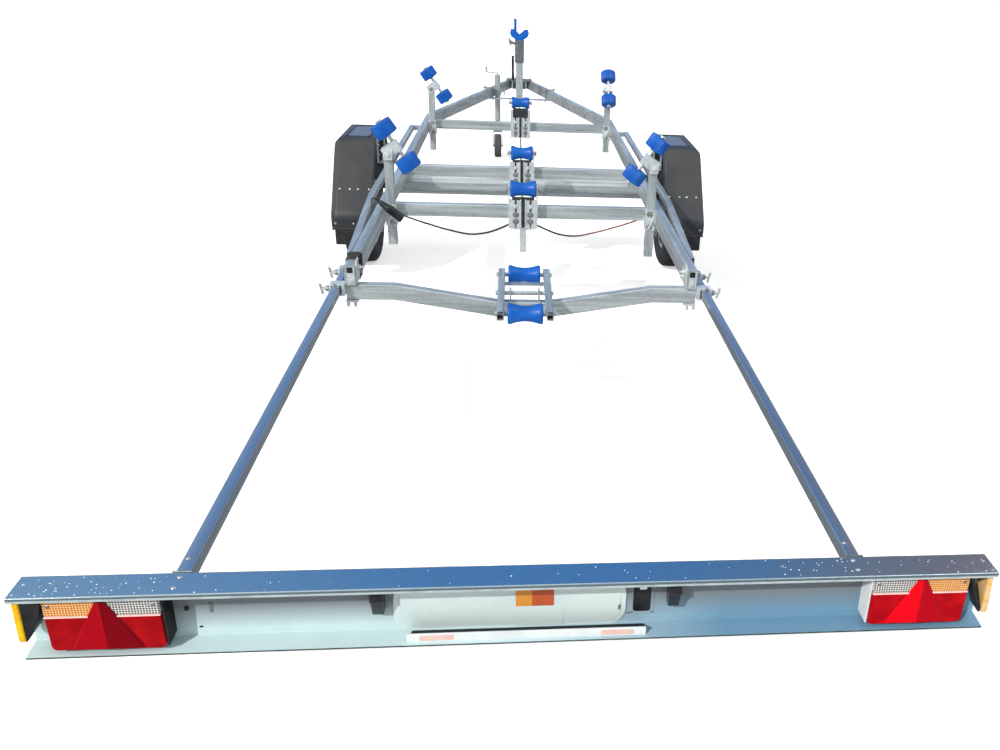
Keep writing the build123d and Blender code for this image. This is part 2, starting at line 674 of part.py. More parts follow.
def guard_block(inset, x0, x1, bevel, below):
    """Solid with a guard's side outline moved in by inset, its open bottom lowered by below."""
    y, z = at(WHEEL_STATION), TYRE_R
    top = GUARD_TOP - TYRE_R - inset
    a, part = inset, 0.45 * inset
    points = [(a - GUARD_REAR, GUARD_REAR_LOW - below), (a - GUARD_KNEE, GUARD_KNEE_Z - part),
              (part - GUARD_TOP_REAR, top), (GUARD_TOP_FRONT - part, top),
              (GUARD_BROW - a, GUARD_BROW_Z - part), (GUARD_FRONT - a, GUARD_FRONT_LOW - below)]
    plane = Plane(origin=(x0, y, z), x_dir=(0, 1, 0), z_dir=(1, 0, 0))
    solid = extrude(plane * make_face(Polyline(*points, close=True)), x1 - x0)
    if bevel:
        outer = solid.faces().sort_by(Axis.X)[-1]
        foot = outer.edges().sort_by(Axis.Z)[0]
        solid = chamfer([e for e in outer.edges() if e != foot], bevel)
    return solid


def mudguards():
    """Moulded guards: folded shell with an outer chamfer, side lips and an open underside."""
    x0, x1 = GUARD_IN_X, GUARD_IN_X + GUARD_W
    below = 2 * GUARD_LIP
    shell = guard_block(0, x0, x1, GUARD_CHAMFER, 0)
    shell -= guard_block(GUARD_SKIN, x0 + GUARD_SKIN, x1 - GUARD_SKIN, GUARD_CHAMFER - 1, below)
    shell -= guard_block(GUARD_LIP, x0 - GUARD_LIP, x1 + GUARD_LIP, 0, below)
    y, top = at(WHEEL_STATION) - GUARD_REAR, TYRE_R + GUARD_REAR_LOW + FLAP_LAP
    shell += box(x0 + FLAP_SIDE, x1 - FLAP_SIDE, y, y + FLAP_T, FLAP_LOW, top)
    return both(shell)


def guard_brackets():
    """Angle strips from each mudguard bar out to the guard's inner wall."""
    z, face, half = RAIL_TOP, GUARD_IN_X - SEAT, GUARD_FOOT_L / 2
    made = []
    for dy in (-GUARD_FOOT_REAR, GUARD_FOOT_FRONT):
        y = at(WHEEL_STATION) + dy
        foot = box(BAR_X - BAR / 2, face, y - half, y + half, z, z + GUARD_FOOT_T)
        upright = box(face - GUARD_FOOT_T, face, y - half, y + half, z, GUARD_TOP - GUARD_FOOT_BELOW)
        made.append(foot + upright)
    return [m for part in made for m in both(part)]


# ---------------------------------------------------------------- rollers
def keel_roller(length, x, y, z):
    """Hourglass roller with a bore for its spindle, lying across the trailer."""
    half, bore = length / 2, SPINDLE_R + RUNNING
    crest, shoulder = half - KEEL_RIM, KEEL_R - KEEL_BEVEL
    with BuildSketch(Plane.XZ) as s:
        with BuildLine():
            Polyline((-crest, KEEL_R), (KEEL_BEVEL - half, KEEL_R), (-half, shoulder), (-half, bore),
                     (half, bore), (half, shoulder), (half - KEEL_BEVEL, KEEL_R), (crest, KEEL_R))
            ThreePointArc((crest, KEEL_R), (0, KEEL_WAIST), (-crest, KEEL_R))
        make_face()
    return Pos(x, y, z) * revolve(s.sketch, Axis.X)


# keel rollers on the crossmembers: node, crossmember station, roller height, bottom of the tail tube or 0
KEEL_ROWS = (("keel_roller_front", FRONT_CROSS, 735.0, 0.0),
             ("keel_roller_middle", MID_CROSS, 682.0, 0.0),
             ("keel_roller_rear", REAR_CROSS, 684.0, 385.0))


def keel_bracket(station, roller_z, tail_low):
    """Folded channel behind a crossmember: web to the rear, two side cheeks, spindle and tail tube."""
    front = at(station) - CROSS_W / 2
    rear = front - BRACKET_DEPTH
    mid = (front + rear) / 2
    half = KEEL_L / 2 + ROLLER_SIDE + BRACKET_T
    low, top = RAIL_TOP - CROSS_H - BRACKET_BELOW, roller_z + BRACKET_ABOVE
    bracket = box(-half, half, rear, front, low, top)
    bracket -= box(BRACKET_T - half, half - BRACKET_T, rear, front, low, top)
    bracket += box(-half, half, rear, rear + BRACKET_T, low, roller_z - KEEL_R - BRACKET_GAP)
    reach = half + SPINDLE_END
    bracket += rod((-reach, mid, roller_z), (reach, mid, roller_z), SPINDLE_R)
    if tail_low:
        y = rear + BRACKET_T + BRACKET_TAIL / 2
        bracket += tube((0, y, tail_low), (0, y, low + TAIL_LAP), BRACKET_TAIL, BRACKET_TAIL, TAIL_WALL, 2)
    return bracket, mid


def keel_set():
    """Brackets of the three fixed keel rollers, and the rollers."""
    brackets, rollers = [], {}
    for name, station, height, tail_low in KEEL_ROWS:
        bracket, y = keel_bracket(station, height, tail_low)
        brackets.append(bracket)
        rollers[name] = [keel_roller(KEEL_L, 0, y, height)]
    return brackets, rollers


def cradle():
    """Rocking frame on the vee beam: two bars, a cross strip, the roller spindles and the pivot pin."""
    y = at(BEAM_STATION)
    z = CRADLE_PIVOT_Z
    reach = CRADLE_HALF + CRADLE_TAIL
    pieces = []
    for _, s in SIDES:
        start, end = (s * CRADLE_BAR_X, y - reach, z), (s * CRADLE_BAR_X, y + reach, z)
        pieces.append(tube(start, end, CRADLE_BAR_W, CRADLE_BAR_H, CRADLE_BAR_WALL, 3))
    bars = pieces[0] + pieces[1]
    inner = CRADLE_BAR_X - CRADLE_BAR_W / 2
    strip_y = y + CRADLE_HALF - KEEL_R - STRIP_GAP
    low = z - CRADLE_BAR_H / 2
    strip = box(-inner, inner, strip_y - STRIP_W, strip_y, low, low + STRIP_T)
    out = CRADLE_BAR_X + CRADLE_BAR_W / 2 + SPINDLE_END
    pins = [rod((-out, y + dy, z), (out, y + dy, z), SPINDLE_R) for dy in (-CRADLE_HALF, CRADLE_HALF)]
    pivot = rod((-out, y, z), (out, y, z), PIVOT_R)
    frame = joined([bars, strip] + pins + [pivot])
    rollers = {"cradle_roller_rear": [keel_roller(CRADLE_ROLLER_L, 0, y - CRADLE_HALF, z)],
               "cradle_roller_front": [keel_roller(CRADLE_ROLLER_L, 0, y + CRADLE_HALF, z)]}
    return frame, rollers


# ---------------------------------------------------------------- hull supports
# name, crossmember station, side, height of the head's pivot, bottom of the post, turn of the head
SUPPORTS = (("rear_left", REAR_CROSS, -1.0, 841.0, 412.0, 180.0),
            ("rear_right", REAR_CROSS, 1.0, 812.0, 372.0, 0.0),
            ("front_left", FRONT_CROSS, -1.0, 810.0, 397.0, 180.0),
            ("front_right", FRONT_CROSS, 1.0, 832.0, 417.0, 90.0))


def post_y(station):
    """Y of a post: its clamp lies against the crossmember's rear face."""
    return at(station) - CROSS_W / 2 - CLAMP_WALL - CLAMP_FIT - POST / 2


def support_post(station, side, pivot_z, low, turn):
    """Square post with the pivot pin of its head across the top."""
    x, y = side * POST_X, post_y(station)
    post = tube((x, y, low), (x, y, pivot_z + POST_ABOVE_PIVOT), POST, POST, POST_WALL, 3)
    hole = rod((0, -POST, 0), (0, POST, 0), HEAD_PIN_R)
    return post - Pos(x, y, pivot_z) * Rot(0, 0, turn) * hole


def pivot_pin(station, side, pivot_z, turn):
    """Bolt through a post and the cheeks of its head, with a hexagon head and a nut."""
    x, y = side * POST_X, post_y(station)
    reach = POST / 2 + CHEEK_GAP + CHEEK_T + CHEEK_GAP
    pin = rod((0, -reach - PIN_END, 0), (0, reach + PIN_END, 0), HEAD_PIN_R)
    for _, s in SIDES:
        pin += extrude(Plane(origin=(0, s * reach, 0), z_dir=(0, s, 0)) * RegularPolygon(NUT_R, 6), NUT_T)
    return Pos(x, y, pivot_z) * Rot(0, 0, turn) * pin


def post_clamp(station, side):
    """Sleeve round a post, against the rail and the crossmember, with its tommy bolt to the rear."""
    x, y = side * POST_X, post_y(station)
    outer = POST + 2 * (CLAMP_WALL + CLAMP_FIT)
    inner = POST + 2 * CLAMP_FIT
    z0, z1 = RAIL_TOP - CLAMP_H, RAIL_TOP + CLAMP_OVER
    sleeve = box(x - outer / 2, x + outer / 2, y - outer / 2, y + outer / 2, z0, z1)
    sleeve -= box(x - inner / 2, x + inner / 2, y - inner / 2, y + inner / 2, z0, z1)
    return sleeve + t_bolt((x, y - outer / 2, (z0 + z1) / 2), (0, -1, 0), CLAMP_BOLT, (0.4, 0, 0.92))


def head_frame(piece, station, side, pivot_z, turn):
    """Place a head's piece, made about its pivot with the bar's outer end up, on its post."""
    x, y = side * POST_X, post_y(station)
    return Pos(x, y, pivot_z) * Rot(0, 0, turn) * Rot(0, -HEAD_TILT, 0) * piece


def roller_head():
    """Rocking head about its pivot: two cheeks astride the post, their web, and the bar of the rollers."""
    inner = POST / 2 + CHEEK_GAP
    top = HEAD_OFFSET + HEAD_BAR_R - BAR_SUNK + CHEEK_T
    head = box(-CHEEK_REACH, CHEEK_REACH, -inner - CHEEK_T, inner + CHEEK_T, -CHEEK_LOW, top)
    head -= box(-CHEEK_REACH, CHEEK_REACH, -inner, inner, -CHEEK_LOW, top - CHEEK_T)
    head -= rod((0, -POST, 0), (0, POST, 0), HEAD_PIN_R + RUNNING)
    reach = HEAD_ROLLER_AT + HEAD_ROLLER_L / 2 + BAR_BEYOND
    bar = rod((-reach, 0, HEAD_OFFSET), (reach, 0, HEAD_OFFSET), HEAD_BAR_R)
    z = HEAD_OFFSET
    caps = [rod((s * (reach - BAR_CAP_T), 0, z), (s * reach, 0, z), BAR_CAP_R) for _, s in SIDES]
    half = HEAD_BAR_R / 2
    ribs = [box(s * CHEEK_REACH / 2, s * CHEEK_REACH, -inner, inner, z - half, z + half) for _, s in SIDES]
    return joined([head, bar] + caps + ribs)


def head_roller():
    """Roller along X: round body with end chamfers and a bore for its bar."""
    body = Cylinder(HEAD_ROLLER_R, HEAD_ROLLER_L, rotation=(0, 90, 0))
    body = chamfer(body.edges(), HEAD_ROLLER_BEVEL)
    body -= Cylinder(HEAD_BAR_R + RUNNING, HEAD_ROLLER_L, rotation=(0, 90, 0))
    return body


def head_rollers():
    """The two rollers of one head, which spin on the bar."""
    return [Pos(s * HEAD_ROLLER_AT, 0, HEAD_OFFSET) * head_roller() for _, s in SIDES]


# ---------------------------------------------------------------- light board
def light_board():
    """Channel open to the rear, its arms, lamps, side markers, plate lamps and plate holder."""
    rear, front = at(0), at(BOARD_DEPTH)
    low = BOARD_TOP - BOARD_H
    half = BOARD_W / 2
    board = box(-half, half, rear, front, low, BOARD_TOP)
    board -= box(-half, half, rear, front - BOARD_T, low + BOARD_T, BOARD_TOP - BOARD_T)
    x0, x1 = ARM_X - ARM / 2 - ARM_SLOT, ARM_X + ARM / 2 + ARM_SLOT
    slot = box(x0, x1, rear, front, ARM_Z - ARM / 2 - ARM_SLOT, ARM_TOP)
    board = board - slot - mirrored(slot)
    arm = tube((ARM_X, rear + ARM_TO_LIP, ARM_Z), (ARM_X, at(ARM_FRONT), ARM_Z), ARM, ARM, ARM_WALL, 3)
    back = front - BOARD_T - SEAT
    z = (low + BOARD_TOP) / 2 - LAMP_DOWN
    lamp_y = back - LAMP_D
    x0, x1 = LAMP_X - LAMP_W / 2, LAMP_X + LAMP_W / 2
    z0, z1 = z - LAMP_H / 2, z + LAMP_H / 2
    lamp = box(x0, x1, lamp_y, back, z0, z1)
    lens = box(x0 + LAMP_LIP, x1 - LAMP_LIP, lamp_y - LENS_D, lamp_y, z0 + LAMP_LIP, z1 - LAMP_LIP)
    half_w, half_h = MARKER_W / 2, MARKER_H / 2
    marker = box(MARKER_X - half_w, MARKER_X + half_w, back - MARKER_D, back, z - half_h, z + half_h)
    half_w, top = PLATE_LAMP_W / 2, BOARD_TOP - BOARD_T - SEAT
    plate_lamp = box(PLATE_LAMP_X - half_w, PLATE_LAMP_X + half_w, back - PLATE_LAMP_D, back,
                     top - PLATE_LAMP_H, top)
    ledge = low + BOARD_T + STRIP_H
    holder = box(-HOLDER_LEFT, HOLDER_RIGHT, back - HOLDER_T, back, ledge, ledge + HOLDER_H)
    holder += box(-STRIP_LEFT, STRIP_RIGHT, back - HOLDER_T - LEDGE_D, back, ledge, ledge + LEDGE_T)
    holder += box(-STRIP_LEFT, STRIP_RIGHT, back - HOLDER_T, back, low + BOARD_T, ledge)
    return {"light_board": [board], "light_arms": both(arm), "tail_lamps": both(lamp),
            "lamp_lenses": both(lens), "side_markers": both(marker), "plate_lamps": both(plate_lamp),
            "plate_holder": [holder]}


def arm_clamps():
    """Sleeves packed off the rails' outer sides that hold the light board's arms, with tommy bolts."""
    inner, outer = ARM / 2 + SLEEVE_FIT, ARM / 2 + SLEEVE_FIT + SLEEVE_WALL
    made = []
    for station in (SLEEVE_REAR, SLEEVE_FRONT):
        y0, y1 = at(station), at(station) + SLEEVE_L
        sleeve = box(RAIL_OUT, ARM_X + outer, y0, y1, ARM_Z - outer, ARM_Z + outer)
        sleeve -= box(ARM_X - inner, ARM_X + inner, y0, y1, ARM_Z - inner, ARM_Z + inner)
        sleeve += t_bolt((ARM_X + outer, (y0 + y1) / 2, ARM_Z), (1, 0, 0), SLEEVE_BOLT, (0, -0.6, 0.8))
        made.append(sleeve)
    return [m for piece in made for m in both(piece)]


# ---------------------------------------------------------------- drawbar fittings
def drawbar_tie():
    """Flat strip under the two legs that the winch post stands on."""
    y, reach = at(TIE_STATION), leg_x(TIE_STATION) + TIE_OVER
    return box(-reach, reach, y - TIE_W / 2, y + TIE_W / 2, RAIL_LOW - TIE_T, RAIL_LOW)


def winch_post():
    """Square tube on a foot plate that stands on the tie."""
    y = at(TIE_STATION)
    post = tube((0, y, RAIL_LOW), (0, y, WINCH_TUBE_TOP), WINCH_POST, WINCH_POST, WINCH_WALL, 4)
    foot = box(-FOOT_HALF, FOOT_HALF, y - TIE_W / 2, y + TIE_W / 2, RAIL_LOW, RAIL_LOW + FOOT_T)
    return post + foot


def winch_frame():
    """Channel bracket clamped to the post's head, with its tommy bolt."""
    y = at(TIE_STATION)
    hw, hp = WINCH_FRAME_W / 2, WINCH_POST / 2 + SEAT
    t = WINCH_FRAME_T
    frame = box(-hw, hw, y - hp - t, y + hp, WINCH_FRAME_LOW, WINCH_FRAME_TOP)
    frame -= box(-hw + t, hw - t, y - hp, y + hp, WINCH_FRAME_LOW, WINCH_FRAME_TOP)
    frame += box(-hw, hw, y - hp - t, y + hp, WINCH_FRAME_TOP - t, WINCH_FRAME_TOP)
    cheek = hw - t - hp
    z0 = WINCH_FRAME_LOW + t
    for _, s in SIDES:
        frame += box(s * hp, s * (hp + cheek), y - FILLER / 2, y + FILLER / 2, z0, z0 + FILLER)
    bolt_z = WINCH_FRAME_TOP - WINCH_BOLT_DOWN
    return frame + t_bolt((-hw, y, bolt_z), (-1, 0, 0), CLAMP_BOLT, (0, 0.6, 0.8), WINCH_BAR)


def bow_stop():
    """Vee block of moulded rubber that takes the boat's stem, with its tall guide prong."""
    y = at(TIE_STATION)
    z0 = WINCH_FRAME_TOP
    w, h = STOP_W / 2, STOP_H
    tip = w - STOP_HORN_IN
    right = [(STOP_FOOT, 0), (w - STOP_SLANT, STOP_SLANT_Z), (w, STOP_WIDE_Z), (tip, h),
             (tip - STOP_HORN, h)]
    left = [(-x, up) for x, up in reversed(right)]
    plane = Plane(origin=(0, y + STOP_T / 2, z0), x_dir=(1, 0, 0), z_dir=(0, -1, 0))
    block = extrude(plane * make_face(Polyline(*right, (0, STOP_VEE_Z), *left, close=True)), STOP_T)
    prong = box(-PRONG_IN - PRONG_W, -PRONG_IN, y + PRONG_BACK, y + STOP_T / 2, z0 + PRONG_LOW,
                z0 + h + STOP_PRONG)
    return block + prong


def coupling():
    """Overrun housing between the legs, draw shaft, and coupling head with the ball socket."""
    z = COUPLING_Z
    y0, y1, end = at(HOUSING_REAR), at(BALL_STATION), at(LEG_END)
    half_h = HOUSING_H / 2
    hw = LEG_END_X - RAIL_W / 2 - HOUSING_SIDE
    rear, front = end - HOUSING_BEHIND, end + HOUSING_AHEAD
    body = box(-hw, hw, rear, front, z - half_h, z + half_h)
    body += box(-HOUSING_PLATE_X, HOUSING_PLATE_X, y0, end, RAIL_TOP, RAIL_TOP + HOUSING_PLATE_T)
    body += box(-hw, hw, y0, rear, z + half_h - HOUSING_LAP, RAIL_TOP)
    lever_y = end - BRAKE_LEVER_REAR
    body += box(-BRAKE_LEVER_HALF, BRAKE_LEVER_HALF, lever_y, lever_y + BRAKE_LEVER_T,
                ROD_Z - 2 * BRAKE_LEVER_HALF, z + half_h)
    reach = BALL_R + HEAD_WALL
    mouth, crown = z - SOCKET_LOW, z + reach - HEAD_ABOVE
    body += rod((0, front, z), (0, y1 - reach / 2, z), SHAFT_R)
    body += rod((0, y1, mouth), (0, y1, crown), reach)
    body += box(-NECK_HALF, NECK_HALF, y1 - NECK_L, y1 - reach / 2, z - NECK_LOW, z + NECK_HALF)
    body += box(-NOSE_HALF, NOSE_HALF, y1, y1 + reach + NOSE_L, z - NOSE_LOW, z + NOSE_HIGH)
    top = z + HANDLE_Z
    body += rod((0, y1 - reach / 2, crown - HANDLE_R), (0, y1 - HANDLE_REACH, top), HANDLE_R)
    grip = y1 - HANDLE_REACH
    half_l, half_t = GRIP_L / 2, GRIP_T / 2
    body += box(-GRIP_HALF, GRIP_HALF, grip - half_l, grip + half_l, top - half_t, top + half_t)
    body -= rod((0, y1, mouth), (0, y1, mouth + SOCKET_DEPTH), BALL_R)
    return body - Pos(0, y1, mouth + SOCKET_DEPTH) * Sphere(BALL_R)


def handbrake():
    """Curved hand lever on the left of the housing, standing on the housing's top plate."""
    x = -HAND_X
    y, z = at(HAND_STATION), RAIL_TOP + HOUSING_PLATE_T
    lever = cord([(x, y + ahead, z + above) for ahead, above in HAND_CURVE], HAND_R)
    half_w, half_l = HAND_R + 1, HAND_FOOT_L / 2
    foot = box(x - half_w, x + half_w, y - half_l, y + half_l, z, z + HAND_FOOT_H)
    return lever + foot


def brake_gear():
    """Brake rod with its equaliser, the cables' anchor plate, and one cable's route."""
    y0, y1 = at(ROD_REAR), at(LEG_END) - BRAKE_LEVER_REAR - SEAT
    brake_rod = rod((0, y0, ROD_Z), (0, y1, ROD_Z), ROD_R)
    reach, half = CABLE_START_X + EQUALISER_SIDE, EQUALISER_H / 2
    brake_rod += box(-reach, reach, y0, y0 + EQUALISER_T, ROD_Z - half, ROD_Z + half)
    yc = at(REAR_CROSS) + CROSS_W / 2 - ANCHOR_GAP
    reach = CABLE_START_X + ANCHOR_SIDE
    anchor = box(-reach, reach, yc - ANCHOR_T, yc, ROD_Z - ANCHOR_LOW, RAIL_TOP - CROSS_H)
    start = (CABLE_START_X, y0 - SEAT, ROD_Z)
    turn = (CABLE_START_X, at(CABLE_TURN), ROD_Z)
    middle = [(x, at(station), height) for x, station, height in CABLE_ROUTE]
    end = (DRUM_X - BACKPLATE_T - CABLE_SIDE, at(WHEEL_STATION) - CABLE_BEHIND, TYRE_R + CABLE_ABOVE)
    points = [start, turn] + middle + [end]
    return brake_rod, anchor, points


def cord(points, radius, tightest=()):
    """Round cord along runs joined by tangent arcs, as large as the runs allow.

    The first corners, as many as tightest names, are no larger than the arc named for them."""
    v = [Vector(*p) for p in points]
    radii = []
    for i in range(1, len(v) - 1):
        before, after = v[i] - v[i - 1], v[i + 1] - v[i]
        turn = radians(before.get_angle(after))
        arc = 0.45 * min(before.length, after.length) / tan(turn / 2)
        radii.append(min(arc, tightest[i - 1]) if i <= len(tightest) else arc)
    path = FilletPolyline(*points, radius=radii)
    print("cord radii", [round(r, 1) for r in radii], "length", round(path.length))
    section = Plane(origin=path @ 0, z_dir=path % 0) * Circle(radius)
    return sweep(section, path=path)


def jockey():
    """Clamp and outer tube on the left leg, sliding stem, swivelling fork and wheel."""
    y = at(JOCKEY_STATION)
    tilt = hypot(1, LEG_SLOPE)
    leg_face = -leg_x(JOCKEY_STATION) + RAIL_W / 2 * tilt
    x = leg_face + (JOCKEY_CLAMP_WALL + JOCKEY_R + SEAT) * tilt
    outer = rod((x, y, JOCKEY_LOW), (x, y, JOCKEY_HIGH), JOCKEY_R)
    outer -= rod((x, y, JOCKEY_LOW), (x, y, JOCKEY_HIGH - JOCKEY_CAP_T), JOCKEY_R - JOCKEY_WALL)
    z1 = RAIL_TOP - JOCKEY_CLAMP_DOWN
    z0 = z1 - JOCKEY_CLAMP_H
    clamp = rod((x, y, z0), (x, y, z1), JOCKEY_R + JOCKEY_CLAMP_WALL)
    half = JOCKEY_ARM_HALF
    clamp += box(leg_face + half * LEG_SLOPE + SEAT, x, y - half, y + half, z0, z1)
    clamp -= rod((x, y, z0), (x, y, z1), JOCKEY_R)
    bolt_x = x + JOCKEY_R + JOCKEY_CLAMP_WALL - 1
    clamp += t_bolt((bolt_x, y, (z0 + z1) / 2), (0.94, 0.34, 0), JOCKEY_BOLT, (0, 0, 1), JOCKEY_BAR)
    top = JOCKEY_HIGH + CRANK_RISE
    crank = rod((x, y, JOCKEY_HIGH), (x, y, top), CRANK_R)
    xk, yk = x - CRANK_OUT, y + CRANK_AHEAD
    crank += rod((x, y, top - CRANK_ARM_R), (xk, yk, top), CRANK_ARM_R)
    crank += rod((xk, yk, top - CRANK_ARM_R), (xk, yk, top + KNOB_L - CRANK_ARM_R), KNOB_R)
    body = outer + crank
    r, hw = JOCKEY_WHEEL_R, JOCKEY_WHEEL_W / 2 + FORK_SIDE
    fork_top = 2 * r + FORK_OVER
    stem = rod((x, y, fork_top), (x, y, JOCKEY_LOW + STEM_LAP), STEM_R)
    wy, crown = y - JOCKEY_TRAIL, fork_top - SEAT - FORK_CROWN_T
    out = hw + FORK_T
    fork = box(x - out, x + out, y - FORK_REAR, y + FORK_AHEAD, crown, fork_top - SEAT)
    for _, s in SIDES:
        fork += box(x + s * hw, x + s * out, wy - FORK_CHEEK, y + FORK_CHEEK_AHEAD, r - FORK_CHEEK, crown)
    fork += rod((x - out - FORK_T, wy, r), (x + out + FORK_T, wy, r), WHEEL_PIN_R)
    w, web, hub, bore = JOCKEY_WHEEL_W / 2, JOCKEY_WHEEL_WEB / 2, WHEEL_HUB_R, WHEEL_PIN_R + RUNNING
    with BuildSketch(Plane.XZ) as s:
        with BuildLine():
            Polyline((-w, r - 12), (-w, r - 34), (-web, r - 38), (-web, hub), (-w, hub), (-w, bore),
                     (w, bore), (w, hub), (web, hub), (web, r - 38), (w, r - 34), (w, r - 12))
            ThreePointArc((w, r - 12), (w - 4, r - 4), (w - 14, r))
            Line((w - 14, r), (-w + 14, r))
            ThreePointArc((-w + 14, r), (-w + 4, r - 4), (-w, r - 12))
        make_face()
    wheel = Pos(x, wy, r) * revolve(s.sketch, Axis.X)
    return {"jockey_clamp": [clamp], "jockey_tube": [body], "jockey_stem": [stem], "jockey_fork": [fork],
            "jockey_wheel": [wheel]}


def lead_route():
    """Lighting lead: coiled round the left rail, along its outer face, over it and to the plug."""
    g = LEAD_R + LEAD_OFF
    x_in, x_out = -(RAIL_IN - g), -(RAIL_OUT + g)
    low, high = RAIL_LOW - g, RAIL_TOP + g
    y = at(COIL_STATION)
    points = [(x_in, y, RAIL_Z)]
    for turn in range(COIL_TURNS):
        y = at(COIL_STATION) + turn * COIL_PITCH
        q = COIL_PITCH / 4
        points += [(x_in, y, high), (x_out, y + q, high), (x_out, y + 2 * q, low), (x_in, y + 3 * q, low)]
    y += COIL_PITCH
    z = RAIL_LOW + LEAD_HEIGHT
    a, b = plug_axis()
    points += [(x_in, y, high), (x_out, y + COIL_PITCH / 4, high), (x_out, y + COIL_PITCH / 2, z)]
    run = (b - a).normalized()
    bend, end = a - run * PLUG_LEAD, a - run * SEAT
    points += [(x_out, at(PLUG_STATION) - LEAD_LEAVES, z), (bend.X, bend.Y, bend.Z), (end.X, end.Y, end.Z)]
    return points


def plug_axis():
    """Outer and inner end of the plug, which lies over the left rail's inner top edge."""
    y = at(PLUG_STATION)
    run = Vector(cos(radians(PLUG_SLOPE)), 0, -sin(radians(PLUG_SLOPE)))
    off = Vector(sin(radians(PLUG_SLOPE)), 0, cos(radians(PLUG_SLOPE)))
    corner = Vector(-RAIL_IN, y, RAIL_TOP)
    middle = corner + off * (PLUG_R + PLUG_REST)
    return middle - run * PLUG_OVER, middle + run * (PLUG_L - PLUG_OVER)


def plug():
    """Multi-pin plug lying on the left rail."""
    a, b = plug_axis()
    return rod(a, b, PLUG_R)


# ---------------------------------------------------------------- all nodes
def build():
    nodes = {}
    nodes.update(side_members())
    nodes["crossmembers"] = crossmembers()
    nodes["vee_beam"] = [vee_beam()]
    nodes["beam_clamps"] = beam_clamps()
    nodes["mudguard_bars"] = mudguard_bars()
    nodes.update(axle())
    for name, s in SIDES:
        for node, piece in (("tyre", tyre()), ("rim", rim())):
            nodes[f"{node}_{name}"] = [piece if s > 0 else mirrored(piece)]
    nodes["mudguards"] = mudguards()
    nodes["mudguard_brackets"] = guard_brackets()
    brackets, rollers = keel_set()
    nodes["keel_brackets"] = brackets
    nodes.update(rollers)
    frame, rollers = cradle()
    nodes["cradle_frame"] = [frame]
    nodes.update(rollers)
    nodes["support_posts"] = [support_post(*row[1:]) for row in SUPPORTS]
    nodes["head_pivots"] = [pivot_pin(st, s, top, turn) for _, st, s, top, _, turn in SUPPORTS]
    nodes["post_clamps"] = [post_clamp(st, s) for _, st, s, _, _, _ in SUPPORTS]
    for name, st, s, top, _, turn in SUPPORTS:
        nodes[f"head_{name}"] = [head_frame(roller_head(), st, s, top, turn)]
        nodes[f"rollers_{name}"] = [head_frame(r, st, s, top, turn) for r in head_rollers()]
    nodes.update(light_board())
    nodes["arm_clamps"] = arm_clamps()
    nodes["drawbar_tie"] = [drawbar_tie()]
    nodes["winch_post"] = [winch_post()]
    nodes["winch_frame"] = [winch_frame()]
    nodes["bow_stop"] = [bow_stop()]
    nodes["coupling"] = [coupling()]
    nodes["handbrake"] = [handbrake()]
    brake_rod, anchor, cable = brake_gear()
    nodes["brake_rod"] = [brake_rod]
    one = cord(cable, CABLE_R)
    nodes["brake_cables"] = both(one)
    nodes["cable_anchor"] = [anchor]
    wrapped = [RAIL_CORNER + LEAD_OFF + LEAD_R] * (4 * COIL_TURNS + 2)
    nodes["lead"] = [cord(lead_route(), LEAD_R, wrapped)]
    nodes["plug"] = [plug()]
    nodes.update(jockey())
    return nodes


if __name__ == "__main__":
    os.makedirs("parts", exist_ok=True)
    for node, pieces in build().items():
        shape = pieces[0] if len(pieces) == 1 else Compound(pieces)
        export_step(shape, f"parts/{node}.step")
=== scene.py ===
"""Looks of a galvanised boat trailer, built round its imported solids.

The row frame is +X to the trailer's right, +Y towards the coupling and +Z up, with the origin on the
ground below the middle of the whole length. Lengths are metres. A station is a distance forward of
the light board's rear lip.
"""

import logging
from dataclasses import dataclass, field
from enum import Enum
from math import cos, pi, radians, sin

import bmesh
import bpy
import numpy as np
from mathutils import Matrix, Vector


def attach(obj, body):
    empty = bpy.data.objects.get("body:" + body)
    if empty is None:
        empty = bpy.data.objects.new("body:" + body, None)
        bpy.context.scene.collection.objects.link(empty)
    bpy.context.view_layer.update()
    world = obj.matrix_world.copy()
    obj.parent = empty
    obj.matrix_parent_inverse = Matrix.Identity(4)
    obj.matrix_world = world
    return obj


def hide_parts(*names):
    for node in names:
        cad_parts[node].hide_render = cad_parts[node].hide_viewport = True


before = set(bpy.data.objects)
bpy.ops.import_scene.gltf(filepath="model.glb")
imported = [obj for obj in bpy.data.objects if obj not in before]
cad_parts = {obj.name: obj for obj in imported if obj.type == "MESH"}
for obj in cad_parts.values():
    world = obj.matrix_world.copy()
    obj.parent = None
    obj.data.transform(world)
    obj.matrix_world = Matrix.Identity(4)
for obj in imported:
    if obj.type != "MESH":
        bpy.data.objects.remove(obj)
LOG = logging.getLogger("trailer")
LENGTH = 8.0171  # of the whole trailer
SIDES = {"left": -1.0, "right": 1.0}
# directions; out and in are those of the right side
OUT, IN, REAR, UP, DOWN = (1, 0, 0), (-1, 0, 0), (0, -1, 0), (0, 0, 1), (0, 0, -1)


def at(station: float) -> float:
    """Y of a station, which counts forward from the light board's rear lip."""
    return station - LENGTH / 2


class Body(str, Enum):
    """Bodies that most of the scene's own pieces ride on."""
    FRAME = "frame"
    BOARD = "light_board_body"


class Slot(str, Enum):
    """The record's material slots."""
    ZINC = "galvanised_steel"
    STEEL = "bright_steel"
    LAMP = "lamp_body"
    LENS = "lamp_lens"
    AMBER = "marker_amber"
    PLATE = "plate_pale"
    GUARD = "guard_plastic"
    TYRE = "tyre_rubber"
    ROLLER = "roller_rubber"
    BLACK = "lever_black"
    CABLE = "cable_black"


